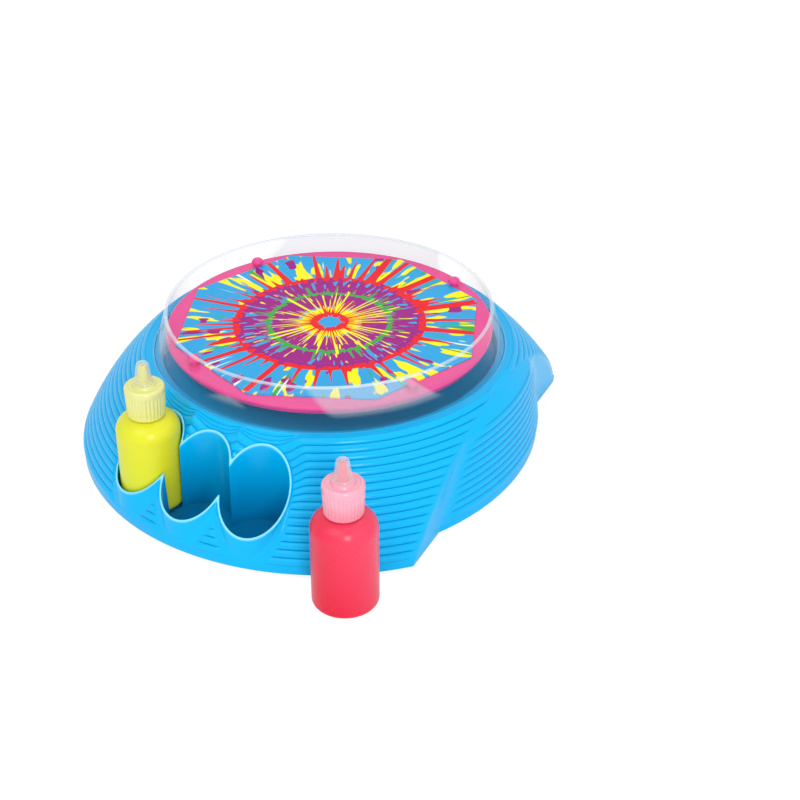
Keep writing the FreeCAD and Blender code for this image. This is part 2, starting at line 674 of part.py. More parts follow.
# Battery door, its screw, the three cells and their contacts
door_thickness = 1.0 - given.fit_gap
door_half_x = box_inner_x / 2 + given.door_margin - given.cover_gap
door_half_y = box_inner_y / 2 + given.door_margin - given.cover_gap
door_plate = box("door_plate", 2 * door_half_x, 2 * door_half_y, door_thickness,
                 given.battery_box_x - door_half_x, -door_half_y, cover_low)
tab_half = given.screw_head_radius + 2.0 - given.cover_gap
tab_end = door_screw_y + given.screw_head_radius + 1.5 - given.cover_gap
door_tab = box("door_tab", 2 * tab_half, tab_end, door_thickness,
               given.battery_box_x - tab_half, 0, cover_low)
door_hole = cylinder("door_hole", given.door_screw_radius + given.seat_gap, 4, given.battery_box_x,
                     door_screw_y, cover_low - 1)
node("battery_door", cut("battery_door", fuse("door_blank", door_plate, door_tab), door_hole))
node("battery_door_screw", screw("battery_door_screw", given.battery_box_x, door_screw_y, cover_low,
                                 given.screw_head_radius, given.base_lift * 0.8, given.door_screw_radius, 5.0))

cells = []
springs = []
plates = []
spring_turns = 3
spring_taper = 12
wire_turns = [math.radians(30 * corner) for corner in range(12)]
cell_low = -(given.cell_length + given.cell_nub) / 2
spring_base = cell_low - given.cell_end_room
for i, x in enumerate(cell_x):
    way = 1 if i % 2 == 0 else -1
    barrel = [(0, 0), (given.cell_radius, 0), (given.cell_radius, given.cell_length),
              (2.7, given.cell_length), (2.7, given.cell_length + given.cell_nub), (0, given.cell_length + given.cell_nub)]
    cell = lathe("cell_%d" % i, barrel, rounds=[(1, 0.6), (2, 0.6)])
    shift = (given.cell_end_room / 2) * way
    start = cell_low * way + shift
    cell.Placement = FreeCAD.Placement(Vector(float(x), float(start), float(cell_axis)), Vector(1, 0, 0), -90 * way)
    bind(cell, "Placement.Base.x", x)
    bind(cell, "Placement.Base.y", start)
    bind(cell, "Placement.Base.z", cell_axis)
    cells.append(cell)
    wire = float(given.contact_wire)
    coil_room = float(given.cell_end_room) - 2 * wire - 0.2
    helix = Part.makeHelix(coil_room / spring_turns, coil_room, float(given.spring_radius), -spring_taper)
    start_point = helix.Vertexes[0].Point
    around = [start_point + Vector(math.cos(turn), 0, math.sin(turn)) * wire for turn in wire_turns]
    coil = Part.Wire(helix).makePipeShell([Part.makePolygon(around + around[:1])], True, True)
    coil.rotate(Vector(0, 0, 0), Vector(1, 0, 0), 90 * way)
    coil.translate(Vector(float(x), float(start) - 0.1 * way - wire * way, float(cell_axis)))
    springs.append(shaped("contact_spring_%d" % i, coil))
    half = given.contact_half
    edge = box_inner_y / 2
    for side in (-1, 1):
        y = edge - given.contact_thickness if side > 0 else -edge
        plates.append(box("contact_%d_%d" % (i, side + 1), 2 * half, given.contact_thickness, 2 * half,
                          x - half, y, cell_axis - half))
node("battery_cells", group("battery_cells", *cells))
node("contact_springs", group("contact_springs", *springs))
node("contact_plates", group("contact_plates", *plates))


# Gears: straight flanked teeth at a twenty degree pressure angle
def gear(teeth, module, bore, width, first_angle, low):
    """A spur wheel with the middle of one tooth at first_angle."""
    pitch = module * teeth / 2
    addendum, dedendum, slack = 0.85 * module, 1.15 * module, 0.06 * module
    slope = math.tan(math.radians(20))
    middle = math.pi * module / 4 - slack
    points = []
    for i in range(teeth):
        centre = math.radians(first_angle + 360.0 * i / teeth)
        for side in (-1, 1):
            ends = [(-dedendum, middle + dedendum * slope), (addendum, middle - addendum * slope)]
            for rise, half in ends[::-side]:
                radius = pitch + rise
                turn = centre + side * half / pitch
                points.append(Vector(radius * math.cos(turn), radius * math.sin(turn), low))
    face = Part.Face(Part.makePolygon(points + points[:1]))
    wheel = face.extrude(Vector(0, 0, width))
    return wheel.cut(Part.makeCylinder(bore, 3 * width, Vector(0, 0, low - width)))


coarse = float(given.coarse_module)
fine = float(given.fine_module)
spindle_teeth, small_teeth = int(given.spindle_teeth), int(given.small_teeth)
large_teeth, pinion_teeth = int(given.large_teeth), int(given.pinion_teeth)
idler_y = given.coarse_module * (given.spindle_teeth + given.small_teeth) / 2
motor_reach = given.fine_module * (given.large_teeth + given.pinion_teeth) / 2
motor_x = motor_reach * cosine(given.motor_angle)
motor_y = idler_y + motor_reach * sine(given.motor_angle)
idler_spot = Vector(0, float(idler_y), 0)
motor_spot = Vector(float(motor_x), float(motor_y), 0)
gear_low = plate_top + given.gear_gap
gear_top = gear_low + given.gear_width
large_low = gear_top + given.gear_gap
large_top = large_low + given.large_width
roof_height = given.well_floor_height - given.shell_wall


def spindle_gear():
    bore = float(given.spindle_radius + given.fit_gap)
    wheel = gear(spindle_teeth, coarse, bore, float(given.gear_width), 90.0, float(gear_low))
    hub_radius = bore + float(given.gear_hub_wall)
    hub = Part.makeCylinder(hub_radius, float(large_top - gear_low) - 1.0, Vector(0, 0, float(gear_low)))
    return wheel.fuse(hub).cut(Part.makeCylinder(bore, 40, Vector(0, 0, float(gear_low) - 1))).removeSplitter()


def compound_gear():
    bore = float(given.idler_radius + given.fit_gap)
    small = gear(small_teeth, coarse, bore, float(large_low - gear_low), -90.0 + 180.0 / small_teeth, float(gear_low))
    towards_motor = float(given.motor_angle)
    large = gear(large_teeth, fine, bore, float(given.large_width), towards_motor, float(large_low))
    return small.fuse(large).translated(idler_spot).removeSplitter()


def motor_pinion():
    towards_idler = float(given.motor_angle) + 180.0
    bore = float(given.motor_shaft_radius + given.fit_gap)
    wheel = gear(pinion_teeth, fine, bore, float(given.large_width) + 0.8, towards_idler + 180.0 / pinion_teeth,
                 float(large_low) - 0.4)
    return wheel.translated(motor_spot)


# Spindle with its gear, bushes, washer, clip and drive hub
hub_low = given.well_floor_height + given.collar_rise + given.washer_thickness + 2 * given.fit_gap
hub_top = hub_low + given.hub_flange + given.hub_hex_height
tray_bore_height = hub_top + given.fit_gap
spindle_top = hub_top - 1.0
spindle_corners = [(0, given.spindle_low), (given.spindle_radius, given.spindle_low),
                   (given.spindle_radius, spindle_top), (given.screw_radius, spindle_top),
                   (given.screw_radius, spindle_top - 8), (0, spindle_top - 8)]
node("spindle", lathe("spindle", spindle_corners, rounds=[(1, 0.4)]))
node("spindle_gear", shaped("spindle_gear", spindle_gear()))
node("compound_gear", shaped("compound_gear", compound_gear()))
bush_length = given.collar_rise + given.shell_wall + given.collar_drop
node("upper_bush", tube("upper_bush", given.spindle_radius + given.fit_gap, given.spindle_radius + given.bush_wall,
                        bush_length, z=roof_height - given.collar_drop))
lower_bush_flange = 0.8
lower_corners = [(given.spindle_radius + given.fit_gap, -lower_bush_flange),
                 (given.spindle_radius + given.bush_wall + 1.0, -lower_bush_flange),
                 (given.spindle_radius + given.bush_wall + 1.0, 0),
                 (given.spindle_radius + given.bush_wall, 0),
                 (given.spindle_radius + given.bush_wall, given.plate_thickness),
                 (given.spindle_radius + given.fit_gap, given.plate_thickness)]
node("lower_bush", lathe("lower_bush", lower_corners, z=given.plate_height))
clip_thickness = 0.8
clip_low = given.plate_height - lower_bush_flange - given.fit_gap * 2 - clip_thickness
node("retaining_clip", tube("retaining_clip", given.spindle_radius + given.fit_gap, given.spindle_radius + 2.4,
                            clip_thickness, z=clip_low))
node("thrust_washer", tube("thrust_washer", given.spindle_radius + given.fit_gap, given.washer_radius,
                           given.washer_thickness, z=given.well_floor_height + given.collar_rise + given.fit_gap))
hub_flange = cylinder("hub_disc", given.hub_flange_radius, given.hub_flange, z=hub_low)
hub_hex = prism("hub_hexagon", 6, given.hub_hex_radius, given.hub_flange + given.hub_hex_height, z=hub_low)
hub_bore = cylinder("hub_bore", given.spindle_radius + given.fit_gap, 4 * given.hub_hex_height, z=hub_low - 4)
node("drive_hub", cut("drive_hub", fuse("hub_blank", hub_flange, hub_hex), hub_bore))


# Turntable tray: rim, ribs, hexagon socket and four mushroom pegs in one moulding
tray_under = given.tray_height - given.tray_plate
tray_low = given.tray_height - given.tray_skirt
socket_radius = given.hub_hex_radius + given.socket_wall
socket_low = hub_low + given.hub_flange + given.fit_gap
rim_wall = 2.0
tray_corners = [(0, tray_under), (given.tray_radius - given.tray_draft - rim_wall, tray_under),
                (given.tray_radius - given.tray_draft - rim_wall, tray_low),
                (given.tray_radius - given.tray_draft, tray_low),
                (given.tray_radius, given.tray_height - 1.6), (given.tray_radius, given.tray_height),
                (0, given.tray_height)]
tray_disc = lathe("tray_disc", tray_corners, rounds=[(3, 0.8), (5, 1.0)])
tray_pieces = [tray_disc, cylinder("tray_socket", socket_radius, tray_under - socket_low + 0.5, z=socket_low)]
rib_thickness = 1.6
rib_start = socket_radius - 1.0
for i in range(int(given.tray_rib_count)):
    turn = i * 360.0 / int(given.tray_rib_count) + 11.0
    rib = box("tray_rib_%d" % i, given.tray_radius - given.tray_draft - rim_wall - rib_start + 0.5, rib_thickness,
              tray_under - tray_low + 0.3,
              rib_start * math.cos(math.radians(turn)) + rib_thickness / 2 * math.sin(math.radians(turn)),
              rib_start * math.sin(math.radians(turn)) - rib_thickness / 2 * math.cos(math.radians(turn)),
              tray_low + 0.2, turn)
    tray_pieces.append(rib)
edge_distance = given.card_radius * cosine(22.5)
peg_orbit = edge_distance / cosine(given.peg_lag) + given.peg_gap + given.peg_neck_radius
for i in range(4):
    angle = given.card_turn + 22.5 - given.peg_lag + 90.0 * i
    neck = given.peg_height * 0.45
    corners = [(0, -0.5), (given.peg_neck_radius, -0.5), (given.peg_neck_radius, neck),
               (given.peg_head_radius, neck), (given.peg_head_radius, given.peg_height), (0, given.peg_height)]
    peg = lathe("peg_%d" % i, corners, rounds=[(4, given.peg_height * 0.45)], x=peg_orbit * cosine(angle),
                y=peg_orbit * sine(angle), z=given.tray_height)
    tray_pieces.append(peg)
tray_blank = fuse("tray_blank", *tray_pieces)
socket_hex = prism("socket_hexagon", 6, given.hub_hex_radius + given.fit_gap * 2,
                   tray_bore_height - socket_low + 1, z=socket_low - 1)
head_recess = given.screw_head_height + 0.2
screw_hole = cylinder("tray_screw_hole", given.screw_radius + given.seat_gap, 20, z=socket_low)
screw_recess = cylinder("tray_screw_recess", given.screw_head_radius + given.seat_gap, 10,
                        z=given.tray_height - head_recess)
node("turntable_tray", cut("turntable_tray", tray_blank, socket_hex, screw_hole, screw_recess))
tray_screw_seat = given.tray_height - head_recess
node("tray_screw", screw("tray_screw", 0, 0, tray_screw_seat, given.screw_head_radius, given.screw_head_height,
                         given.screw_radius - given.fit_gap, tray_screw_seat - spindle_top + 6, up=-1))
node("paint_card", prism("paint_card", 8, given.card_radius, given.card_thickness, z=given.tray_height,
                         turn=given.card_turn))


# Splash guard: clear tapered ring with a foot and a rounded rim
foot_low = given.ledge_height + given.seat_gap
foot_rise = 1.4
foot_width = 3.0
guard_rim = foot_low + given.guard_height
guard_corners = [(given.guard_foot_radius - foot_width, foot_low), (given.guard_foot_radius, foot_low),
                 (given.guard_foot_radius, foot_low + foot_rise), (given.guard_top_radius, guard_rim),
                 (given.guard_top_radius - given.guard_wall, guard_rim),
                 (given.guard_foot_radius - given.guard_wall, foot_low + foot_rise),
                 (given.guard_foot_radius - foot_width, foot_low + foot_rise)]
node("splash_guard", lathe("splash_guard", guard_corners, rounds=[(3, 0.7), (4, 0.7)]))


# Gearbox plate on four posts, with the idler pin and the motor
def gearbox_plate():
    width, front, back = (float(size) for size in (given.plate_half_width, given.plate_front, given.plate_back))
    solid = Part.makeBox(2 * width, front + back, float(given.plate_thickness),
                         Vector(-width, -front, float(given.plate_height)))
    corners = [edge for edge in solid.Edges if abs(edge.Vertexes[0].Z - edge.Vertexes[1].Z) > 1]
    solid = solid.makeFillet(float(given.post_inset), corners)
    low = float(given.plate_height) - 1
    holes = [(0, 0, float(given.spindle_radius + given.bush_wall + given.fit_gap)),
             (0, float(idler_y), float(given.idler_radius + given.fit_gap)),
             (motor_spot.x, motor_spot.y, float(given.motor_boss_radius) + 0.1)]
    holes += [(float(x), float(y), float(given.screw_radius + given.seat_gap)) for x, y in post_spots]
    holes += [(x, y, float(given.motor_screw_radius) + 0.1) for x, y in motor_screw_spots()]
    for x, y, radius in holes:
        solid = solid.cut(Part.makeCylinder(radius, 3 * float(given.plate_thickness), Vector(x, y, low)))
    return solid


def motor_screw_spots():
    spots = []
    for side in (-1, 1):
        offset = polar(given.motor_screw_orbit, given.motor_angle - 90) * side
        spots.append((motor_spot.x + offset.x, motor_spot.y + offset.y))
    return spots


def motor_body(radius, flat, low, high):
    """A round can with two flat sides."""
    drum = Part.makeCylinder(radius, high - low, Vector(0, 0, low))
    slab = Part.makeBox(2 * flat, 4 * radius, high - low, Vector(-flat, -2 * radius, low))
    body = drum.common(slab)
    body.rotate(Vector(0, 0, 0), Z_AXIS, float(given.motor_angle))
    return body.translated(motor_spot)


motor_top = given.plate_height - given.fit_gap
motor_low = motor_top - given.motor_length
motor_end = motor_low - given.motor_cap_length
shaft_low = motor_end + 1.5
shaft_top = large_top + 1.2


def motor_column(radius, low, high):
    return Part.makeCylinder(float(radius), float(high) - float(low),
                             Vector(motor_spot.x, motor_spot.y, float(low)))


def motor_can():
    can = motor_body(float(given.motor_radius), float(given.motor_flat), float(motor_low), float(motor_top))
    boss = motor_column(given.motor_boss_radius, motor_top, motor_top + given.motor_boss_height)
    can = can.fuse(boss).cut(motor_column(given.motor_shaft_radius + given.fit_gap, motor_low - 1, shaft_top))
    for x, y in motor_screw_spots():
        can = can.cut(Part.makeCylinder(float(given.motor_screw_radius + given.fit_gap), 4.5,
                                        Vector(x, y, float(motor_top) - 4)))
    return can


def motor_end_cap():
    cap = motor_body(float(given.motor_radius) - 0.3, float(given.motor_flat) - 0.3, float(motor_end),
                     float(motor_low))
    return cap.cut(motor_column(given.motor_shaft_radius + given.fit_gap, shaft_low - 0.3, motor_low + 1))


node("gearbox_plate", shaped("gearbox_plate", gearbox_plate()))
gearbox_screws = []
for i, (x, y) in enumerate(post_spots):
    gearbox_screws.append(screw("gearbox_screw_%d" % i, x, y, given.plate_height, given.screw_head_radius,
                                given.screw_head_height, given.screw_radius, given.screw_bite))
node("gearbox_screws", group("gearbox_screws", *gearbox_screws))
node("idler_pin", cylinder("idler_pin", given.idler_radius, roof_height - given.plate_height - given.seat_gap,
                           0, idler_y, given.plate_height))
node("motor_can", shaped("motor_can", motor_can()))
node("motor_end_cap", shaped("motor_end_cap", motor_end_cap()))
node("motor_shaft", cylinder("motor_shaft", given.motor_shaft_radius, shaft_top - shaft_low, motor_x, motor_y,
                             shaft_low))
node("motor_pinion", shaped("motor_pinion", motor_pinion()))
motor_screws = []
for i, (x, y) in enumerate(motor_screw_spots()):
    motor_screws.append(screw("motor_screw_%d" % i, x, y, plate_top, 2.0, 1.2, given.motor_screw_radius,
                              given.plate_thickness + 3.5, up=-1))
node("motor_screws", group("motor_screws", *motor_screws))


# Power button and the switch body behind it
def power_button():
    cap = button_cylinder(given.button_radius, -(given.bezel_depth - given.button_travel) + 0.6, given.button_proud)
    ring = [edge for edge in cap.Edges if isinstance(edge.Curve, Part.Circle)
            and (edge.Curve.Center - along_button(given.button_proud)).Length < 0.01]
    cap = cap.makeFillet(1.2, ring)
    stem = button_cylinder(given.stem_radius, -(given.bezel_depth + given.switch_flange + 3.0), 0)
    return cap.fuse(stem).removeSplitter()


def switch_body():
    flange = button_cylinder(given.button_radius + given.bezel_wall - 0.6,
                             -(given.bezel_depth + given.switch_flange), -given.bezel_depth)
    housing = button_cylinder(given.switch_radius, -(given.bezel_depth + given.switch_depth), -given.bezel_depth)
    well = button_cylinder(given.stem_radius + given.fit_gap,
                           -(given.bezel_depth + given.switch_flange + 3.5 + given.button_travel), 0)
    return flange.fuse(housing).cut(well).removeSplitter()


node("power_button", shaped("power_button", power_button()))
node("switch_body", shaped("switch_body", switch_body()))


# Paint bottles: bottle, paint, screw cap with nozzle, tip cap
def bottle_form(name, inset, top, x, y, z):
    """The bottle's outline drawn in by an inset; top is where its neck ends."""
    radius = given.bottle_radius - inset
    shoulder = given.bottle_shoulder - inset
    neck = given.neck_radius - inset
    corners = [(0, inset), (radius, inset), (radius, shoulder), (neck, shoulder), (neck, top), (0, top)]
    rounds = [(1, given.bottle_base_round - inset), (2, given.bottle_round - inset)]
    return lathe(name, corners, rounds=rounds, x=x, y=y, z=z)


def paint_form(name, x, y, z):
    """Paint fills the bottle to just below its shoulder."""
    inset = given.bottle_wall + given.fit_gap
    radius = given.bottle_radius - inset
    level = given.bottle_shoulder - given.paint_room - given.bottle_wall
    corners = [(0, inset), (radius, inset), (radius, given.bottle_shoulder - given.bottle_round - 1.5),
               (radius - 1.2, level), (0, level)]
    return lathe(name, corners, rounds=[(1, given.bottle_base_round - inset)], x=x, y=y, z=z)


def bottle_set(colour, x, y, z):
    """One paint bottle with everything that is on it."""
    neck_top = given.bottle_shoulder + given.neck_height
    outer = bottle_form(colour + "_outer", given.fit_gap * 0, neck_top, x, y, z)
    inner = bottle_form(colour + "_inner", given.bottle_wall, neck_top + 1, x, y, z)
    node(colour + "_bottle", cut(colour + "_bottle", outer, inner))
    node(colour + "_paint", paint_form(colour + "_paint", x, y, z))
    skirt = given.bottle_shoulder + given.seat_gap
    top = skirt + given.cap_height
    crown = top + given.cap_crown
    roof = neck_top + given.fit_gap * 2
    bore = given.neck_radius + given.fit_gap * 2
    nozzle_top = crown + given.nozzle_height
    corners = [(bore, skirt), (given.cap_foot_radius, skirt), (given.cap_top_radius, top),
               (given.nozzle_radius + 2.0, crown), (given.nozzle_radius, crown),
               (given.nozzle_tip_radius, nozzle_top), (given.nozzle_bore, nozzle_top), (given.nozzle_bore, roof),
               (bore, roof)]
    node(colour + "_cap", lathe(colour + "_cap", corners, rounds=[(2, given.cap_round)], x=x, y=y, z=z))
    tip_low = crown + given.fit_gap
    tip_top = tip_low + given.tip_height
    gap = given.fit_gap * 3
    tip_corners = [(given.nozzle_radius + gap, tip_low), (given.tip_radius, tip_low),
                   (given.tip_top_radius, tip_top), (0, tip_top), (0, nozzle_top + gap),
                   (given.nozzle_tip_radius + gap, nozzle_top + gap)]
    node(colour + "_tip", lathe(colour + "_tip", tip_corners, rounds=[(2, given.tip_top_radius * 0.8)], x=x, y=y, z=z))


left_cup = given.cup_angle - cup_step
bottle_set("yellow", given.cup_orbit * cosine(left_cup), given.cup_orbit * sine(left_cup),
           given.cup_floor_height + given.seat_gap)
stand_orbit = given.base_radius + given.bottle_radius + given.bottle_stand_gap
bottle_set("red", stand_orbit * cosine(given.bottle_stand_angle), stand_orbit * sine(given.bottle_stand_angle), 0)


# Every object has to be sound before anything is written
doc.recompute()
for item in doc.Objects:
    if "Invalid" in item.State or "Error" in item.State:
        raise RuntimeError("%s failed: %s" % (item.Label, item.State))
for name, item in nodes:
    if item.Shape.isNull() or not item.Shape.isValid():
        raise RuntimeError("%s has no valid shape" % name)
    item.Shape.exportStep(os.path.join("parts", name + ".step"))
    print("%-20s solids %d volume %.0f" % (name, len(item.Shape.Solids), item.Shape.Volume))
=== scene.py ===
import math

import bmesh
import bpy
import numpy as np
from mathutils import Matrix, Vector


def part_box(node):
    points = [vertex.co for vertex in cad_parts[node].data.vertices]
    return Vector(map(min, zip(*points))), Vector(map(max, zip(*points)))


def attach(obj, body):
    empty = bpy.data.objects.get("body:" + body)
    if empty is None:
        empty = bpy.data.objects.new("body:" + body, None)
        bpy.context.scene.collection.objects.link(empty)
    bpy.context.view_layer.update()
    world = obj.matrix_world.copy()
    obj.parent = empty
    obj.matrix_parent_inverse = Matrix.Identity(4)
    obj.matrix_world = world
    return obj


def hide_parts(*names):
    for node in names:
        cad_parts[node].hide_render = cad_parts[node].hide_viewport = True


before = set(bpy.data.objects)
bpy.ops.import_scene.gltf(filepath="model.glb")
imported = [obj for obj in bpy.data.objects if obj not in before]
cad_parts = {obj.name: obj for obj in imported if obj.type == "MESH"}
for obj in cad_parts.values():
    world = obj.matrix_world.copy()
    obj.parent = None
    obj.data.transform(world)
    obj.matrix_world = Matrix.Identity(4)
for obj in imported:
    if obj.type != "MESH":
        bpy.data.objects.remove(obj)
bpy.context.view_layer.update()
scene = bpy.context.scene
scene.view_settings.view_transform = "Standard"
MM = 0.001


# Camera. It stands in front of the machine and looks down on it at 31 degrees, from
# as far away as a photographer with a short telephoto lens.
lens = bpy.data.cameras.new("camera")
lens.lens = 72.7
lens.sensor_width = 36.0
camera = bpy.data.objects.new("camera", lens)
camera.location = (0.0371, -0.7504, 0.4746)
camera.rotation_euler = (math.radians(58.69), 0.0, 0.0)
scene.collection.objects.link(camera)
scene.camera = camera


# Node work for every finish. A Wire is one socket, and sums written on it add Math
# nodes. A Finish is one material. Sharp edges are the same on every mesh made here.
sharp_angle = math.radians(38.0)


class Wire:
    """One output socket of a finish."""

    def __init__(self, finish, socket):
        self.finish = finish
        self.socket = socket

    def maths(self, operation, *others, clamp=False):
        settings = {"operation": operation, "use_clamp": clamp}
        return self.finish.node("ShaderNodeMath", settings, dict(enumerate((self, *others))))

    def __add__(self, other):
        return self.maths("ADD", other)

    def __sub__(self, other):
        return self.maths("SUBTRACT", other)

    def __rsub__(self, other):
        return self.maths("MULTIPLY_ADD", -1.0, other)

    def __mul__(self, other):
        return self.maths("MULTIPLY", other)

    __radd__ = __add__
    __rmul__ = __mul__

    def __truediv__(self, other):
        return self.maths("DIVIDE", other)

    def __pow__(self, other):
        return self.maths("POWER", other)

    def clamped(self):
        """The same value kept between 0 and 1."""
        return self.maths("ADD", 0.0, clamp=True)

    def over(self, edge, soft):
        """0 below an edge and 1 above it, smooth across a soft width."""
        return ((self - edge) / soft + 0.5).clamped()


def added_node(tree, kind, settings, sockets):
    """Adds a node and fills its sockets with numbers, wires or other sockets."""
    made = tree.nodes.new(kind)
    for name, value in (settings or {}).items():
        setattr(made, name, value)
    for name, value in (sockets or {}).items():
        if isinstance(value, Wire):
            value = value.socket
        if isinstance(value, bpy.types.NodeSocket):
            tree.links.new(value, made.inputs[name])
        else:
            made.inputs[name].default_value = value
    return made


class Finish:
    """One material and its node tree."""

    def __init__(self, name, colour, roughness, **sockets):
        self.material = bpy.data.materials.new(name)
        self.material.use_nodes = True
        self.tree = self.material.node_tree
        self.shader = self.tree.nodes["Principled BSDF"]
        self.shader.inputs["Base Color"].default_value = (*colour, 1.0)
        self.shader.inputs["Roughness"].default_value = roughness
        for name, value in sockets.items():
            self.shader.inputs[name.replace("_", " ").title().replace("Ior", "IOR")].default_value = value
        self.place = self.node("ShaderNodeTexCoord", out="Object")

    def node(self, kind, settings=None, sockets=None, out=0):
        return Wire(self, added_node(self.tree, kind, settings, sockets).outputs[out])

    def noise(self, scale, detail=2.0, roughness=0.5, vector=None):
        sockets = {"Vector": vector or self.place, "Scale": scale, "Detail": detail, "Roughness": roughness}
        return self.node("ShaderNodeTexNoise", None, sockets)

    def mix(self, factor, first, second):
        """Two colours mixed; each is a tuple or a wire."""
        pair = [c if isinstance(c, Wire) else (*c, 1.0) for c in (first, second)]
        return self.node("ShaderNodeMix", {"data_type": "RGBA"}, {0: factor, 6: pair[0], 7: pair[1]}, out=2)

    def attribute(self, name):
        """A number kept for each point of the mesh."""
        return self.node("ShaderNodeAttribute", {"attribute_name": name}, out="Fac")

    def along(self, axis):
        """The place along one axis, in metres."""
        return self.node("ShaderNodeSeparateXYZ", None, {0: self.place}, out=axis)

    def edge_on(self):
        """0 where a face is seen square on, 1 where it is seen from its edge."""
        return self.node("ShaderNodeLayerWeight", None, {"Blend": 0.5}, out="Facing")

    def feed(self, socket, wire):
        self.tree.links.new(wire.socket, self.shader.inputs[socket])

    def fed(self, socket):
        """What feeds a socket of the shader now."""
        return Wire(self, self.shader.inputs[socket].links[0].from_socket)

    def bump(self, height, strength, distance):
        sockets = {"Height": height, "Strength": strength, "Distance": distance}
        self.feed("Normal", self.node("ShaderNodeBump", None, sockets))

    def see_through(self, solid):
        """Lets light straight through except for a share that is solid."""
        clear = self.node("ShaderNodeBsdfTransparent", None, {"Color": (1.0, 1.0, 1.0, 1.0)})
        whole = Wire(self, self.shader.outputs[0])
        blend = self.node("ShaderNodeMixShader", None, {0: solid, 1: clear, 2: whole})
        self.tree.links.new(blend.socket, self.tree.nodes["Material Output"].inputs["Surface"])


def moulded(name, light, deep, roughness=0.3, grain=0.25, **sockets):
    """Injection moulded plastic: slow flow marks in its colour and gloss, and a fine grain."""
    finish = Finish(name, light, roughness, **sockets)
    flow = finish.noise(11.0, 2.0, 0.5)
    finish.feed("Base Color", finish.mix(flow.over(0.5, 0.7), light, deep))
    finish.feed("Roughness", finish.noise(40.0, 3.0) * 0.08 + (roughness - 0.04))
    finish.bump(finish.noise(2200.0, 1.0) + finish.noise(60.0, 1.0) * 0.6, grain, 0.00002)
    return finish


def dress(finish, *names):
    """Gives CAD nodes a finish."""
    for name in names:
        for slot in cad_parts[name].material_slots:
            slot.material = finish.material


def mesh_object(name, points, faces, finish):
    """An object from points in millimetres, smooth but for its sharp edges."""
    mesh = bpy.data.meshes.new(name)
    mesh.from_pydata([tuple(p) for p in np.asarray(points, float) * MM], [], [tuple(f) for f in faces])
    mesh.materials.append(finish.material)
    mesh.shade_smooth()
    mesh.set_sharp_from_angle(angle=sharp_angle)
    mesh.validate()
    thing = bpy.data.objects.new(name, mesh)
    scene.collection.objects.link(thing)
    return thing


def loops(rows, closed_profile=False):
    """Quads between rows of equal length, each row a ring round an axis."""
    count = len(rows[0])
    faces = []
    pairs = [(k, k + 1) for k in range(len(rows) - 1)]
    if closed_profile:
        pairs.append((len(rows) - 1, 0))
    for low, high in pairs:
        for j in range(count):
            step = (j + 1) % count
            faces.append((low * count + j, low * count + step, high * count + step, high * count + j))
    return faces


def turned(profile, sides, centre=(0.0, 0.0, 0.0), closed=True):
    """Points and faces of a profile of (radius, height) turned round an upright axis.
    A profile is drawn so that its solid is on the left. A radius of 0 becomes one point."""
    points, faces, rings = [], [], []
    for radius, height in profile:
        if radius < 1e-6:
            rings.append([len(points)])
            points.append((centre[0], centre[1], centre[2] + height))
            continue
        rings.append(list(range(len(points), len(points) + sides)))
        for j in range(sides):
            turn = 2 * math.pi * j / sides
            points.append((centre[0] + radius * math.cos(turn), centre[1] + radius * math.sin(turn),
                           centre[2] + height))
    pairs = list(zip(rings, rings[1:]))
    if closed and len(rings[0]) > 1 and len(rings[-1]) > 1:
        pairs.append((rings[-1], rings[0]))
    for low, high in pairs:
        for j in range(sides):
            corners = [low[j % len(low)], low[(j + 1) % len(low)],
                       high[(j + 1) % len(high)], high[j % len(high)]]
            face = list(dict.fromkeys(corners))
            if len(face) > 2:
                faces.append(face)
    return points, faces


def joined(*parts):
    """Points and faces of several meshes as one."""
    points, faces = [], []
    for more, their_faces in parts:
        start = len(points)
        points.extend(more)
        faces.extend([[start + i for i in face] for face in their_faces])
    return points, faces


# Base shell. One large moulding in glossy cyan plastic: a ribbed dome with a scoop cut
# in its right side, a ribbed drum behind the scoop, a well for the turntable and three
# bottle cups that merge into each other. Its ribs run out before the scoop and the cups.
base_plastic = moulded("base_plastic", (0.0, 0.45, 0.86), (0.0, 0.43, 0.84), roughness=0.2, ior=1.27,
                       specular_ior_level=0.5)
# Painted light on the base colour: painted shade in the rib grooves and deep in the cups, and a painted
# highlight along the cup lips and the well's rim.
groove_shade_blue, painted_shade_blue, painted_highlight_blue = (0.0, 0.22, 0.5), (0.0, 0.12, 0.27), (0.3, 0.78, 1.0)
groove_shade_sharpness, groove_shade_gain, groove_shade_share, painted_highlight_share = 7.0, 1100.0, 0.75, 0.75
bead_place, bead_reach, painted_light_level = [base_plastic.attribute(name) for name in ("beads", "reach", "edge")]
# Painted shade: the colour darkens towards the bottom of each groove between the ribs.
from_bead = (bead_place.maths("FRACT") * 2.0 - 1.0).maths("ABSOLUTE")
groove_shade = from_bead ** groove_shade_sharpness * bead_reach * groove_shade_gain * groove_shade_share
base_colour = base_plastic.mix(groove_shade.clamped(), base_plastic.fed("Base Color"), groove_shade_blue)
# Painted shade: where the painted light level is below 0, deep inside the cups, the colour darkens.
base_colour = base_plastic.mix((painted_light_level * -1.0).clamped(), base_colour, painted_shade_blue)
# Painted highlight: where the painted light level is above 0, on the cup lips and the well's rim, the
# colour lightens.
base_plastic.feed("Base Color", base_plastic.mix((painted_light_level * painted_highlight_share).clamped(), base_colour, painted_highlight_blue))

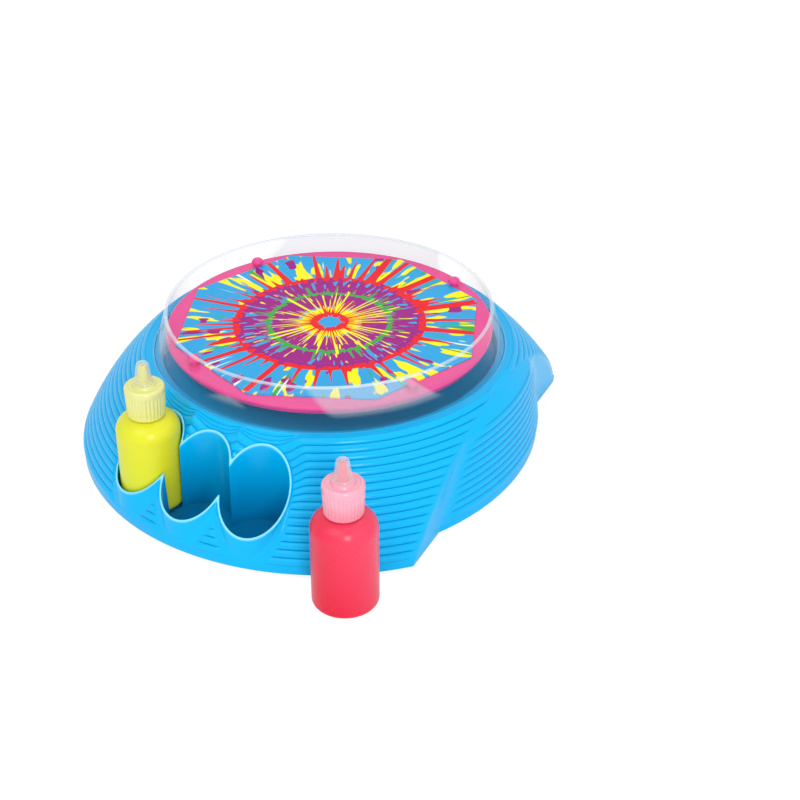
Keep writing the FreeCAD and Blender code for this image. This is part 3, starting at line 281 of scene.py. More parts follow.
ring_radius, ring_height = 97.0, 56.0
ring_edge = (ring_radius, ring_height)
base_radius, foot_height, rim_low = 134.0, 6.2, 1.2
dome_bulge = 3.2
shell_wall = 2.2
rib_count, rib_depth = 16, 0.9
drum_rib_count, drum_rib_depth = 10, 0.8
drum_top, drum_foot = (105.7, 46.0), (109.9, 6.2)
drum_offset = 28.0
scoop_angle, scoop_distance, scoop_lean = -25.0, 93.0, 6.0
well_radius, well_floor, ledge_radius, ledge_height = 88.5, 48.0, 92.6, 54.5
collar_radius, collar_top, collar_bore, collar_low, floor_middle = 8.0, 51.0, 4.05, 43.4, 50.0
bead_rows = (0.0, 0.06, 0.16, 0.5, 0.84, 0.94)
drum_rows = (0.0, 0.05, 0.14, 0.3, 0.5, 0.7, 0.86, 0.95)
crown_rows = rib_count * len(bead_rows) - drum_rib_count * len(drum_rows)

# Columns of a ring: five sectors of the dome, a scoop wall, the drum, the other wall
sector_ends, sector_columns = (85.0, 145.0, 222.0, 297.0), (50, 100, 55, 230, 40)
wall_columns, drum_columns = 13, 91
least_turn, least_crease, crease_margin, drum_rib_gap, dome_margin = 4.0, 0.02, 1.5, 2.0, 0.1

slope = np.array([base_radius - ring_radius, foot_height - ring_height])
half_chord = np.linalg.norm(slope) / 2
dome_out = np.array([-slope[1], slope[0]]) / (2 * half_chord)
arc_radius = (half_chord ** 2 + dome_bulge ** 2) / (2 * dome_bulge)
arc_centre = np.array(ring_edge) + slope / 2 + dome_out * (dome_bulge - arc_radius)
arc_start = math.atan2(ring_height - arc_centre[1], ring_radius - arc_centre[0])
arc_end = math.atan2(foot_height - arc_centre[1], base_radius - arc_centre[0])


def dome_at(share, inset=0.0):
    """(radius, height) down the dome's arc, drawn in by a wall."""
    turn = arc_start + (arc_end - arc_start) * share
    return arc_centre + (arc_radius - inset) * np.array([math.cos(turn), math.sin(turn)])


def dome_reach(height):
    """How far the smooth dome reaches from the axis at a height."""
    return arc_centre[0] + math.sqrt(arc_radius ** 2 - (height - arc_centre[1]) ** 2)


def scoop_at(height, inset=0.0):
    """Distance of the scoop's flat from the axis at a height."""
    return scoop_distance - inset + height * math.tan(math.radians(scoop_lean))


def between(first, second, share):
    """The place at a share of the way from one (radius, height) to another."""
    return np.array(first) + (np.array(second) - np.array(first)) * share


def circle(radius, ways, height):
    """Points on a level circle."""
    return np.stack([radius * np.cos(ways), radius * np.sin(ways), np.full(len(ways), height)], 1)


def skin_row(dome_point, drum_point, inset=0.0):
    """One ring of the skin: dome, scoop wall, drum, scoop wall. Returns its points, how far
    each stands from the edge or the crease next to it (negative on the wall), whether it is
    on the scoop's side, and the direction that it faces."""
    (radius, height), (drum_radius, drum_height) = dome_point, drum_point
    curve = drum_radius + drum_offset
    edge = max(math.degrees(math.acos(min(scoop_at(height, inset) / radius, 1.0))), least_turn)
    side = radius * math.sin(math.radians(edge)) - crease_margin
    crease = math.acos(min((scoop_at(drum_height, inset) + drum_offset) / curve, 1.0))
    crease = min(max(crease, least_crease), math.asin(side / curve))
    corners = [edge, *sector_ends, 360.0 - edge]
    sectors = [np.linspace(start, end, count, endpoint=False)
               for start, end, count in zip(corners, corners[1:], sector_columns)]
    dome_turn = np.radians(np.concatenate([*sectors, corners[-1:]]))
    dome_points = circle(radius, dome_turn, height)
    drum_turn = np.linspace(-crease, crease, drum_columns)
    drum_points = circle(curve, drum_turn, drum_height) - (drum_offset, 0, 0)
    limit = dome_reach(drum_height) - inset - dome_margin
    drum_points[:, :2] *= np.minimum(limit / np.hypot(*drum_points[:, :2].T), 1.0)[:, None]
    share = np.linspace(0, 1, wall_columns + 2)[1:-1, None]
    first_wall = dome_points[-1] * (1 - share) + drum_points[0] * share
    last_wall = drum_points[-1] * (1 - share) + dome_points[0] * share
    flat = np.zeros(wall_columns)
    from_edge = np.minimum(dome_turn - dome_turn[0], dome_turn[-1] - dome_turn) * radius
    from_crease = (crease - np.abs(drum_turn)) * curve - drum_rib_gap
    away = np.concatenate([from_edge, flat - 1, from_crease, flat - 1])
    on_drum = np.concatenate([np.zeros(len(dome_turn)), np.ones(2 * wall_columns + drum_columns)]) > 0
    turn = math.radians(scoop_angle)
    way = np.concatenate([dome_turn, flat, drum_turn, flat]) + turn
    points = np.concatenate([dome_points, first_wall, drum_points, last_wall])
    spun = points.copy()
    spun[:, 0] = points[:, 0] * math.cos(turn) - points[:, 1] * math.sin(turn)
    spun[:, 1] = points[:, 0] * math.sin(turn) + points[:, 1] * math.cos(turn)
    return spun, away, on_drum, way


def smooth_step(low, high, value):
    share = np.clip((value - low) / (high - low), 0, 1)
    return share * share * (3 - 2 * share)


# Rings down the outside, each with its place on a rib, how far the rib stands out and which way
dome_fade, drum_fade, drum_lean = (0.3, 4.0), (0, 7), (0.995, 0.1)
dome_spots = [(rib + part) / rib_count for rib in range(rib_count) for part in bead_rows] + [1.0]
drum_spots = [(rib + part) / drum_rib_count for rib in range(drum_rib_count) for part in drum_rows] + [1.0]
outside, beads, reach, outward = [], [], [], []
for row, spot in enumerate(dome_spots):
    drum_point, drum_bead, drum_depth = between(ring_edge, drum_top, row / crown_rows), 0.0, 0.0
    if row >= crown_rows:
        drum_spot = drum_spots[row - crown_rows]
        drum_point = between(drum_top, drum_foot, drum_spot)
        drum_bead, drum_depth = drum_spot * drum_rib_count, drum_rib_depth
    dome_point = dome_at(spot)
    ring, away, on_drum, way = skin_row(dome_point, drum_point)
    outside.append(ring)
    beads.append(np.where(on_drum, drum_bead, spot * rib_count))
    reach.append(np.where(on_drum, smooth_step(*drum_fade, away) * drum_depth,
                          smooth_step(*dome_fade, away) * rib_depth))
    lean = (dome_point - arc_centre) / arc_radius
    level, rise = [np.where(on_drum, of_drum, of_dome) for of_drum, of_dome in zip(drum_lean, lean)]
    outward.append(np.stack([level * np.cos(way), level * np.sin(way), rise], 1))
columns = len(outside[0])
outside = np.array(outside)

# The crease at the foot of the scoop wall is a wide hollow round, and the wall's edge a small one
edge_column = sum(sector_columns)
first_crease = edge_column + wall_columns + 1
last_crease = first_crease + drum_columns - 1
index = np.arange(columns)
near_crease = np.minimum(np.abs(index - first_crease), np.abs(index - last_crease))
near_edge = np.min([np.abs(index - edge_column), index, columns - index], 0)
crease_width, crease_passes, edge_passes = 9.0, 26, 3
for weight, passes in ((1.4 - near_crease / crease_width, crease_passes), (1.5 - near_edge, edge_passes)):
    weight = np.clip(weight, 0, 1)[None, :, None]
    for _ in range(passes):
        middle = (np.roll(outside, 1, axis=1) + np.roll(outside, -1, axis=1)) / 2
        outside += (middle - outside) * 0.5 * weight

# The band between the ring's edge and the dome: flat, but sloped and ribbed behind the cups
band_start, band_ribs, band_rows, band_depth, band_lean = 94.0, 3.0, 21, 0.5, (0.6, 0.8)
band_shares = np.arange(band_rows) / band_rows
band_way = np.arctan2(outside[0][:, 1], outside[0][:, 0])
band_radii = band_start + (ring_radius - band_start) * band_shares
band = [circle(radius, band_way, ring_height) for radius in band_radii]
outside = np.concatenate([band, outside])
beads = [np.full(columns, share * band_ribs) for share in band_shares] + beads
reach = np.concatenate([np.zeros((band_rows, columns)), reach])
outward = [circle(band_lean[0], band_way, band_lean[1])] * band_rows + outward

# Cups: their circles and the slope of their mouths. The skin rises to their walls in a
# small round, and dips behind their lips, which stand proud of it
bottle_cup_radius, cup_wall, cup_floor, cup_under = 17.05, 1.1, 5.6, 3.8
cup_orbit, cup_middle_angle, cup_spacing = 115.6, -122.9, 33.0
mouth_height, mouth_slope = 34.4, math.tan(math.radians(42.0))
cup_outer = bottle_cup_radius + cup_wall
lip_proud, dip_width, wall_round, wall_snap = 1.5, 9.0, 2.6, 0.45
round_share, round_below_lip, skin_cut, skin_snap, inner_snap = 0.6, 0.8, 0.8, 2.0, 2.5
cup_step = 2 * math.degrees(math.asin(cup_spacing / 2 / cup_orbit))
cup_ways = [math.radians(cup_middle_angle + cup_step * i) for i in (-1, 0, 1)]
cup_centres = [np.array([math.cos(w), math.sin(w)]) * cup_orbit for w in cup_ways]


def mouth_at(x, y, cup):
    """Height of a cup's sloping mouth."""
    (middle_x, middle_y), way = cup_centres[cup], cup_ways[cup]
    outwards = (x - middle_x) * math.cos(way) + (y - middle_y) * math.sin(way)
    return mouth_height - mouth_slope * outwards


def near_cup(points):
    """For points: the gap to the nearest cup's outer wall, the height of that cup's mouth
    over them, and the level direction away from the cup."""
    gaps = np.stack([np.hypot(points[..., 0] - c[0], points[..., 1] - c[1]) for c in cup_centres], -1)
    nearest = gaps.argmin(-1)
    mouth = np.choose(nearest, [mouth_at(points[..., 0], points[..., 1], i) for i in range(3)])
    away = points[..., :2] - np.array(cup_centres)[nearest]
    away /= np.maximum(np.linalg.norm(away, axis=-1, keepdims=True), 1.0)
    return gaps.min(-1) - cup_outer, mouth, away


gap, lip, from_cup = near_cup(outside)
room = np.clip(round_share * (lip - outside[..., 2] - round_below_lip), 0.0, wall_round)
rise = room - np.sqrt(np.maximum(room ** 2 - np.clip(room - gap, 0, room) ** 2, 0))
along_wall = np.array(outward)
along_wall[..., :2] -= from_cup * (along_wall[..., :2] * from_cup).sum(-1, keepdims=True)
outside += along_wall * rise[..., None]
excess = np.maximum(outside[..., 2] - (lip - lip_proud), 0) * (1 - smooth_step(0.0, dip_width, gap))
ring_excess = excess[band_rows]
excess[:band_rows] = ring_excess * band_shares[:, None] ** 0.8
outside[..., 2] -= excess
caught = (gap < -wall_snap) & (gap > -skin_snap)
outside[..., :2] -= from_cup * np.where(caught, gap + wall_snap, 0)[..., None]
reach *= smooth_step(0.1, 1.3, gap - room * 0.8)
reach[:band_rows] = band_depth * smooth_step(0.4, 2.5, ring_excess)

# The rest of the section: skirt, rim, inner skin, roof, collar, well, and back to the ring.
# Each ring has a kind: outer skin, inner skin or plain circle.
section = [(ring, "outer") for ring in outside]


def add_row(dome_point, drum_point, inset=0.0):
    """One inner row. It stays below the dip behind the lips."""
    row = skin_row(dome_point, drum_point, inset)[0]
    row_gap, row_lip, row_away = near_cup(row)
    over_lip = np.maximum(row[:, 2] - (row_lip - lip_proud - shell_wall), 0)
    row[:, 2] -= over_lip * (1 - smooth_step(0.0, dip_width, row_gap))
    near_wall = (row_gap < -wall_snap) & (row_gap > -inner_snap) & (row[:, 2] > foot_height + 1.0)
    row[:, :2] -= row_away * np.where(near_wall, row_gap + wall_snap, 0)[:, None]
    section.append((row, "inner"))


skirt_rows = [(0.0, 5.7), (0.0, 3.6), (0.0, 1.7), (0.15, 1.35), (0.5, rim_low)]
skirt_rows += [(shell_wall, height) for height in (rim_low, 3.7, foot_height)]
for inset, height in skirt_rows:
    add_row((base_radius - inset, height), (drum_foot[0] - inset, height), inset)
crown_share = 0.17
for share in (0.9, 0.78, 0.65, 0.52, 0.4, 0.28, 0.18, 0.1):
    if share < crown_share:
        drum_point = between(ring_edge, drum_top, share / crown_share)
    else:
        drum_point = between(drum_top, drum_foot, (share - crown_share) / (1 - crown_share))
    add_row(dome_at(share, shell_wall), drum_point - (shell_wall, shell_wall / 2), shell_wall)

well_back, roof, under_ledge = well_radius + shell_wall, well_floor - shell_wall, ledge_height - shell_wall
# The well's rounded rim: each point with the painted highlight level that it gets.
rim_rows = {(ledge_radius, ring_height - 0.6): 0.3, (ledge_radius + 0.18, ring_height - 0.18): 1.0,
            (ledge_radius + 0.6, ring_height): 0.3}
roof_profile = [(ring_radius - shell_wall, under_ledge), (well_back, under_ledge), (well_back, roof)]
collar_profile = [(collar_radius, roof), (collar_radius, collar_low), (collar_bore, collar_low),
                  (collar_bore, collar_top - 0.3), (collar_bore + 0.3, collar_top),
                  (collar_radius - 0.4, collar_top), (collar_radius, collar_top - 0.4),
                  (collar_radius, well_floor + 1.2), (collar_radius + 0.4, well_floor + 0.4)]
well_profile = [(collar_radius + 1.2, well_floor), (floor_middle, well_floor),
                (well_radius - 1.6, well_floor), (well_radius - 0.5, well_floor + 0.5),
                (well_radius, well_floor + 1.6), (well_radius, ledge_height - 0.5),
                (well_radius + 0.15, ledge_height - 0.15), (well_radius + 0.5, ledge_height),
                (ledge_radius - 0.3, ledge_height), (ledge_radius, ledge_height + 0.3)]
inner_profile = [*roof_profile, *collar_profile, *well_profile, *rim_rows]
section += [(circle(radius, band_way, height), "plain") for radius, height in inner_profile]

button_axis = Vector((0.0, dome_out[0], dome_out[1]))
bezel_proud = 0.7
bezel_middle = Vector((0.0, *dome_at(0.5))) + button_axis * bezel_proud
button_bore, bezel_radius, bezel_depth = 10.3, 13.6, 7.0
bezel_side, bezel_cut = 60.0, (button_bore + bezel_radius) / 2

skin_points = np.concatenate([ring for ring, _ in section])
skin_faces = []
clear = near_cup(skin_points)[0]
for face in loops([ring for ring, _ in section], closed_profile=True):
    corners = list(face)
    middle = skin_points[corners].mean(0)
    kind = section[face[0] // columns][1]
    if kind != "plain" and middle[2] > cup_under + 0.1:
        low_skirt = middle[2] < foot_height + 0.5 and np.hypot(middle[0], middle[1]) > base_radius - 1
        in_bore = kind == "inner" and clear[corners].min() < -cup_wall
        if (clear[corners].mean() < -skin_cut or in_bore) and not (kind == "inner" and low_skirt):
            continue
    if kind != "plain" and middle[1] > bezel_side:
        from_bezel = Vector(middle) - bezel_middle
        if (from_bezel - button_axis * from_bezel.dot(button_axis)).length < bezel_cut:
            continue
    skin_faces.append(face[::-1])
skin = mesh_object("base_skin", skin_points, skin_faces, base_plastic)


def spread(thing, name, values):
    """Keeps one number or vector for each of the first points of a mesh."""
    values = np.array(values, np.float32)
    vector = values.ndim > 1 and values.shape[-1] == 3
    full = np.zeros((len(thing.data.vertices), 3) if vector else len(thing.data.vertices), np.float32)
    values = values.reshape(-1, 3) if vector else values.ravel()
    full[:len(values)] = values
    layer = thing.data.attributes.new(name, "FLOAT_VECTOR" if vector else "FLOAT", "POINT")
    layer.data.foreach_set("vector" if vector else "value", full.ravel())


spread(skin, "beads", beads)
spread(skin, "reach", reach * MM)
spread(skin, "outward", outward)
# Painted light level of each ring of the skin: a painted highlight on the well's rim only.
painted_light_rows = [0.0] * (len(section) - len(rim_rows)) + list(rim_rows.values())
spread(skin, "edge", np.repeat(painted_light_rows, columns))


class Tree:
    """A Geometry Nodes tree with named inputs."""

    def __init__(self, name, **inputs):
        self.tree = bpy.data.node_groups.new(name, "GeometryNodeTree")
        self.tree.interface.new_socket("Geometry", in_out="INPUT", socket_type="NodeSocketGeometry")
        self.tree.interface.new_socket("Geometry", in_out="OUTPUT", socket_type="NodeSocketGeometry")
        self.sockets = {}
        for key, value in inputs.items():
            socket = self.tree.interface.new_socket(key, in_out="INPUT", socket_type="NodeSocketFloat")
            socket.default_value = value
            self.sockets[key] = (socket.identifier, value)
        self.given = self.tree.nodes.new("NodeGroupInput").outputs

    def node(self, kind, settings=None, sockets=None, out=0):
        return added_node(self.tree, kind, settings, sockets).outputs[out]

    def maths(self, operation, *values):
        return self.node("ShaderNodeMath", {"operation": operation}, dict(enumerate(values)))

    def scaled(self, vector, factor):
        return self.node("ShaderNodeVectorMath", {"operation": "SCALE"}, {0: vector, "Scale": factor})

    def end(self, geometry, finish):
        whole = self.node("GeometryNodeRealizeInstances", None, {0: geometry})
        sockets = {"Geometry": whole, "Material": finish.material}
        dressed = self.node("GeometryNodeSetMaterial", None, sockets)
        self.tree.links.new(dressed, self.tree.nodes.new("NodeGroupOutput").inputs[0])

    def apply(self, thing):
        """The tree's result as the object's own plain mesh."""
        modifier = thing.modifiers.new(self.tree.name, "NODES")
        modifier.node_group = self.tree
        for identifier, value in self.sockets.values():
            modifier[identifier] = value
        evaluated = thing.evaluated_get(bpy.context.evaluated_depsgraph_get())
        mesh = bpy.data.meshes.new_from_object(evaluated)
        thing.modifiers.remove(modifier)
        old, thing.data = thing.data, mesh
        bpy.data.meshes.remove(old)
        return thing


ribs = Tree("ribs", bead_power=2.6)
bead = ribs.node("GeometryNodeInputNamedAttribute", {"data_type": "FLOAT"}, {"Name": "beads"})
depth = ribs.node("GeometryNodeInputNamedAttribute", {"data_type": "FLOAT"}, {"Name": "reach"})
away = ribs.node("GeometryNodeInputNamedAttribute", {"data_type": "FLOAT_VECTOR"}, {"Name": "outward"})
across = ribs.maths("ABSOLUTE", ribs.maths("MULTIPLY_ADD", ribs.maths("FRACT", bead), 2.0, -1.0))
round_top = ribs.maths("SUBTRACT", 1.0, ribs.maths("POWER", across, ribs.given["bead_power"]))
lifted = ribs.node("GeometryNodeSetPosition", None,
                   {"Geometry": ribs.given["Geometry"],
                    "Offset": ribs.scaled(away, ribs.maths("MULTIPLY", round_top, depth))})
ribs.end(lifted, base_plastic)
ribs.apply(skin)


# Steps of a ring round an end cup and along the middle one, and how its corners are softened
end_steps, middle_steps, joint_width, joint_passes = 130, 40, 3.0, 9


def cup_ring(radius, height, lip_drop=None):
    """One ring round the three cups at a distance from their centres. Its height is
    fixed, or follows the lip."""
    half = math.acos(cup_spacing / 2 / radius)
    from_last, to_last, to_first, from_first = [
        math.atan2(*(cup_centres[b] - cup_centres[a])[::-1]) for a, b in ((2, 1), (1, 2), (1, 0), (0, 1))]
    round_end = 2 * math.pi - half
    arcs = [(2, from_last + half, from_last + round_end, end_steps),
            (1, to_last + half, to_first - half, middle_steps),
            (0, from_first + half, from_first + round_end, end_steps),
            (1, to_first + half, to_last - half, middle_steps)]
    ring = []
    for cup, start, end, steps in arcs:
        while end < start:
            end += 2 * math.pi
        while end > start + 2 * math.pi:
            end -= 2 * math.pi
        for turn in np.linspace(start, end, steps):
            x, y = cup_centres[cup] + radius * np.array([math.cos(turn), math.sin(turn)])
            z = height if lip_drop is None else float(mouth_at(x, y, cup)) - lip_drop
            ring.append((x, y, z, cup))
    if lip_drop is None:
        return ring
    places = np.array([corner[:3] for corner in ring])
    order = np.arange(len(ring))
    joints = np.cumsum([0, end_steps, middle_steps, end_steps]) - 0.5
    half_ring = len(ring) / 2
    near = np.min([np.abs((order - joint + half_ring) % len(ring) - half_ring) for joint in joints], 0)
    weight = np.clip(1.6 - near / joint_width, 0, 1)[:, None] * 0.5
    for _ in range(joint_passes):
        places += ((np.roll(places, 1, 0) + np.roll(places, -1, 0)) / 2 - places) * weight
    return [(*place, corner[3]) for place, corner in zip(places, ring)]


lip_round = ((0.0, 0.8), (0.04, 0.4), (0.16, 0.14), (0.38, 0.0))
floor_round = ((0.0, 0.6), (0.15, 0.18), (0.5, 0.0))


def cup_cluster():
    """The three cups: outer wall, rounded lip, inner wall and floor."""
    outer_foot = [(x, y, rim_low + 0.1 if math.hypot(x, y) > base_radius - shell_wall else height, cup)
                  for x, y, height, cup in cup_ring(cup_outer, cup_under)]
    rings = [cup_ring(bottle_cup_radius, cup_under), outer_foot]
    rings += [cup_ring(cup_outer - inwards, 0, drop) for inwards, drop in lip_round]
    rings += [cup_ring(bottle_cup_radius + outwards, 0, drop) for outwards, drop in lip_round[::-1]]
    rings.append(cup_ring(bottle_cup_radius, 0, 2.5))
    rings += [cup_ring(bottle_cup_radius - inwards, cup_floor + rise) for inwards, rise in floor_round]
    count = len(rings[0])
    points = [p[:3] for ring in rings for p in ring]
    faces = loops(rings)
    owner = [p[3] for p in rings[0]]
    for base, height, flip in ((0, cup_under, True), ((len(rings) - 1) * count, cup_floor, False)):
        hubs = [len(points) + i for i in range(3)]
        points.extend([(*c, height) for c in cup_centres])
        for j in range(count):
            step = (j + 1) % count
            if owner[j] == owner[step]:
                face = (base + j, base + step, hubs[owner[j]])
                faces.append(face[::-1] if flip else face)
            else:
                face = (base + j, base + step, hubs[owner[step]], hubs[owner[j]])
                faces.append(face[::-1] if flip else face)
    return points, faces


def base_piece(name, *parts, edge=()):
    """A piece of the base, its doubled points merged and its faces turned outwards."""
    points, faces = joined(*parts)
    thing = mesh_object(name, points, faces, base_plastic)
    # The painted light level of each point: painted highlight above 0, painted shade below 0.
    spread(thing, "edge", edge)
    work = bmesh.new()
    work.from_mesh(thing.data)
    bmesh.ops.remove_doubles(work, verts=work.verts, dist=1e-6)
    bmesh.ops.recalc_face_normals(work, faces=work.faces)
    work.to_mesh(thing.data)
    work.free()
    thing.data.shade_smooth()
    thing.data.set_sharp_from_angle(angle=sharp_angle)
    return thing


cover_top, post_top, post_bore, post_round = 3.2, 46.3, 1.45, 0.3
cover_post_radius, cover_post_orbit, bore_depth = 3.8, 83.0, 10.0
gearbox_post_radius, gearbox_post_low = 3.6, 34.05
post_sides, bezel_sides, tip_sides = 28, 96, 64


def hollow_post(radius, low, x, y):
    """A screw boss: an upright post with a blind bore in its lower end."""
    profile = [(0, low + bore_depth), (post_bore, low + bore_depth), (post_bore, low),
               (radius - post_round, low), (radius, low + post_round), (radius, post_top), (0, post_top)]
    return turned(profile, post_sides, (x, y, 0), closed=False)


inner_parts = []
for i in range(5):
    turn = math.radians(61.0 + 72.0 * i)
    x, y = cover_post_orbit * math.cos(turn), cover_post_orbit * math.sin(turn)
    inner_parts.append(hollow_post(cover_post_radius, cover_top + 0.05, x, y))
for x in (-27.0, 27.0):
    for y in (-20.0, 46.0):
        inner_parts.append(hollow_post(gearbox_post_radius, gearbox_post_low, x, y))
# Painted light level of each ring round the cups: a painted highlight on the lips, painted shade down the
# insides to the floors.
lip_painted_light = (0, 0, 0, 0.2, 0.7, 1.0, 1.0, 0.7, 0.2, 0.0, -0.08, -0.8, -0.85, -0.85)
cup_painted_light = np.repeat(lip_painted_light, 2 * (end_steps + middle_steps))
cup_painted_light = np.concatenate([cup_painted_light, [0, 0, 0], [lip_painted_light[-1]] * 3])
cups = base_piece("base_cups", cup_cluster(), edge=cup_painted_light)
posts = base_piece("base_posts", *inner_parts)
bezel_profile = [(button_bore, -bezel_depth), (bezel_radius, -bezel_depth), (bezel_radius, -0.9),
                 (bezel_radius - 0.25, -0.25), (bezel_radius - 0.9, 0), (button_bore + 0.5, 0),
                 (button_bore + 0.12, -0.15), (button_bore, -0.5)]
bezel = base_piece("base_bezel", turned(bezel_profile, bezel_sides))
lean_back = Vector((0, 0, 1)).rotation_difference(button_axis).to_matrix().to_4x4()
bezel.data.transform(Matrix.Translation(bezel_middle * MM) @ lean_back)


def weld(name, things):
    """Objects joined into the first one, under a new name."""
    bpy.ops.object.select_all(action="DESELECT")
    for thing in things:
        thing.select_set(True)
    bpy.context.view_layer.objects.active = things[0]
    bpy.ops.object.join()
    things[0].name = name
    things[0].data.name = name
    return things[0]


base_moulding = weld("base_moulding", [skin, cups, posts, bezel])
base_moulding.data.set_sharp_from_angle(angle=sharp_angle)
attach(base_moulding, "base")
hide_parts("base_shell")


# Bottom cover and battery door: matt blue plastic plates under the shell, held by screws.
cover_plastic = moulded("cover_plastic", (0.004, 0.24, 0.52), (0.004, 0.22, 0.49), roughness=0.5, grain=0.6)
dress(cover_plastic, "bottom_cover", "battery_door")


# Rubber feet: five black pads pressed in recesses of the cover.
foot_rubber = moulded("foot_rubber", (0.02, 0.02, 0.021), (0.03, 0.03, 0.03), roughness=0.8, grain=0.9)
dress(foot_rubber, "rubber_feet")


# Screws, clip and idler pin: zinc plated steel with a faint yellow and blue cast.
def metal(name, light, dark, roughness):
    """Turned or drawn metal with fine marks and a slow change of tint."""
    finish = Finish(name, light, roughness, metallic=1.0)
    cast = finish.noise(120.0, 3.0)
    finish.feed("Base Color", finish.mix(cast.over(0.5, 0.4), light, dark))
    finish.feed("Roughness", finish.noise(260.0, 4.0, 0.6) * 0.25 + (roughness - 0.12))
    finish.bump(finish.noise(1500.0, 2.0), 0.15, 0.00002)
    return finish


zinc_steel = metal("zinc_steel", (0.62, 0.63, 0.6), (0.5, 0.53, 0.56), 0.32)
dress(zinc_steel, "cover_screws", "battery_door_screw", "gearbox_screws", "motor_screws", "tray_screw",
      "idler_pin", "retaining_clip")
nickel = metal("nickel_contact", (0.66, 0.64, 0.58), (0.56, 0.55, 0.5), 0.25)
dress(nickel, "contact_springs", "contact_plates")
bronze = metal("bush_bronze", (0.55, 0.36, 0.17), (0.42, 0.27, 0.13), 0.42)
dress(bronze, "upper_bush", "lower_bush", "thrust_washer")
spindle_steel = metal("spindle_steel", (0.58, 0.58, 0.59), (0.48, 0.48, 0.5), 0.22)
dress(spindle_steel, "spindle", "motor_shaft")
motor_steel = metal("motor_steel", (0.5, 0.51, 0.52), (0.42, 0.43, 0.45), 0.38)
dress(motor_steel, "motor_can")


# Cells: plain sleeves, dark over most of their length with a copper coloured band.
cell_sleeve = Finish("cell_sleeve", (0.03, 0.03, 0.035), 0.35, metallic=0.2)
copper_band = cell_sleeve.along("Y").over(0.012, 0.0006)
cell_sleeve.feed("Base Color", cell_sleeve.mix(copper_band, (0.03, 0.03, 0.035), (0.5, 0.25, 0.1)))
cell_sleeve.feed("Roughness", cell_sleeve.noise(300.0) * 0.15 + 0.27)
cell_sleeve.bump(cell_sleeve.noise(900.0), 0.1, 0.00002)
dress(cell_sleeve, "battery_cells")


# Gears and hub: white acetal wheels. Gearbox plate, switch body and motor end cap: grey and
# black mouldings.
gear_plastic = moulded("gear_plastic", (0.78, 0.77, 0.72), (0.72, 0.71, 0.66), roughness=0.4)
dress(gear_plastic, "spindle_gear", "compound_gear", "motor_pinion", "drive_hub")
plate_plastic = moulded("plate_plastic", (0.28, 0.29, 0.3), (0.24, 0.25, 0.26), roughness=0.5, grain=0.6)
dress(plate_plastic, "gearbox_plate", "switch_body")
motor_cap_plastic = moulded("motor_cap_plastic", (0.03, 0.03, 0.03), (0.04, 0.04, 0.04), roughness=0.45)
dress(motor_cap_plastic, "motor_end_cap")


# Turntable tray and power button: hot pink mouldings. The tray's four mushroom pegs hold the
# card; the button stands in a ring on the back of the dome.
tray_plastic = moulded("tray_plastic", (0.78, 0.062, 0.29), (0.76, 0.055, 0.27), roughness=0.24,
                       specular_ior_level=0.3)
dress(tray_plastic, "turntable_tray", "power_button")


# Card: white board under a generic spin painting, six poster paints flung outwards while it
# turned. Every ring has ragged tongues, and the last paint lies on top.
card_paint = Finish("card_paint", (0.9, 0.9, 0.9), 0.35, specular_ior_level=0.15)
board_white, paint_blue, paint_yellow = (0.93, 0.93, 0.92), (0.02, 0.36, 0.72), (0.95, 0.86, 0.0)
paint_green, paint_red, paint_purple = (0.03, 0.40, 0.045), (0.80, 0.004, 0.01), (0.32, 0.004, 0.22)
across_card = card_paint.along("X")
along_card = card_paint.along("Y")
from_middle = (across_card * across_card + along_card * along_card).maths("SQRT") * 1000.0 + 0.001
card_x, card_y = across_card * 1000.0 / from_middle, along_card * 1000.0 / from_middle


def flung(around, outwards, seed, detail=0.0):
    """Noise drawn out along the radii: features round the card and per millimetre outwards."""
    spot = card_paint.node("ShaderNodeCombineXYZ", None, {0: card_x * around, 1: card_y * around,
                                                          2: from_middle * outwards + seed})
    return card_paint.noise(1.0, detail, 0.5, spot)


def tongues(around, seed, length, sharpness=2.0):
    """How far pointed runs of paint reach outwards, in millimetres."""
    return ((flung(around, 0.004, seed) - 0.4) * 3.4).clamped() ** sharpness * length


def blots(around, outwards, seed, share):
    return flung(around, outwards, seed, 1.0).over(1.0 - share, 0.02)


def annulus(low, high, low_run, high_run):
    """A ring of paint, both of its edges moved outwards by runs."""
    return (from_middle - low_run).over(low, 0.3) * (1.0 - (from_middle - high_run).over(high, 0.3))


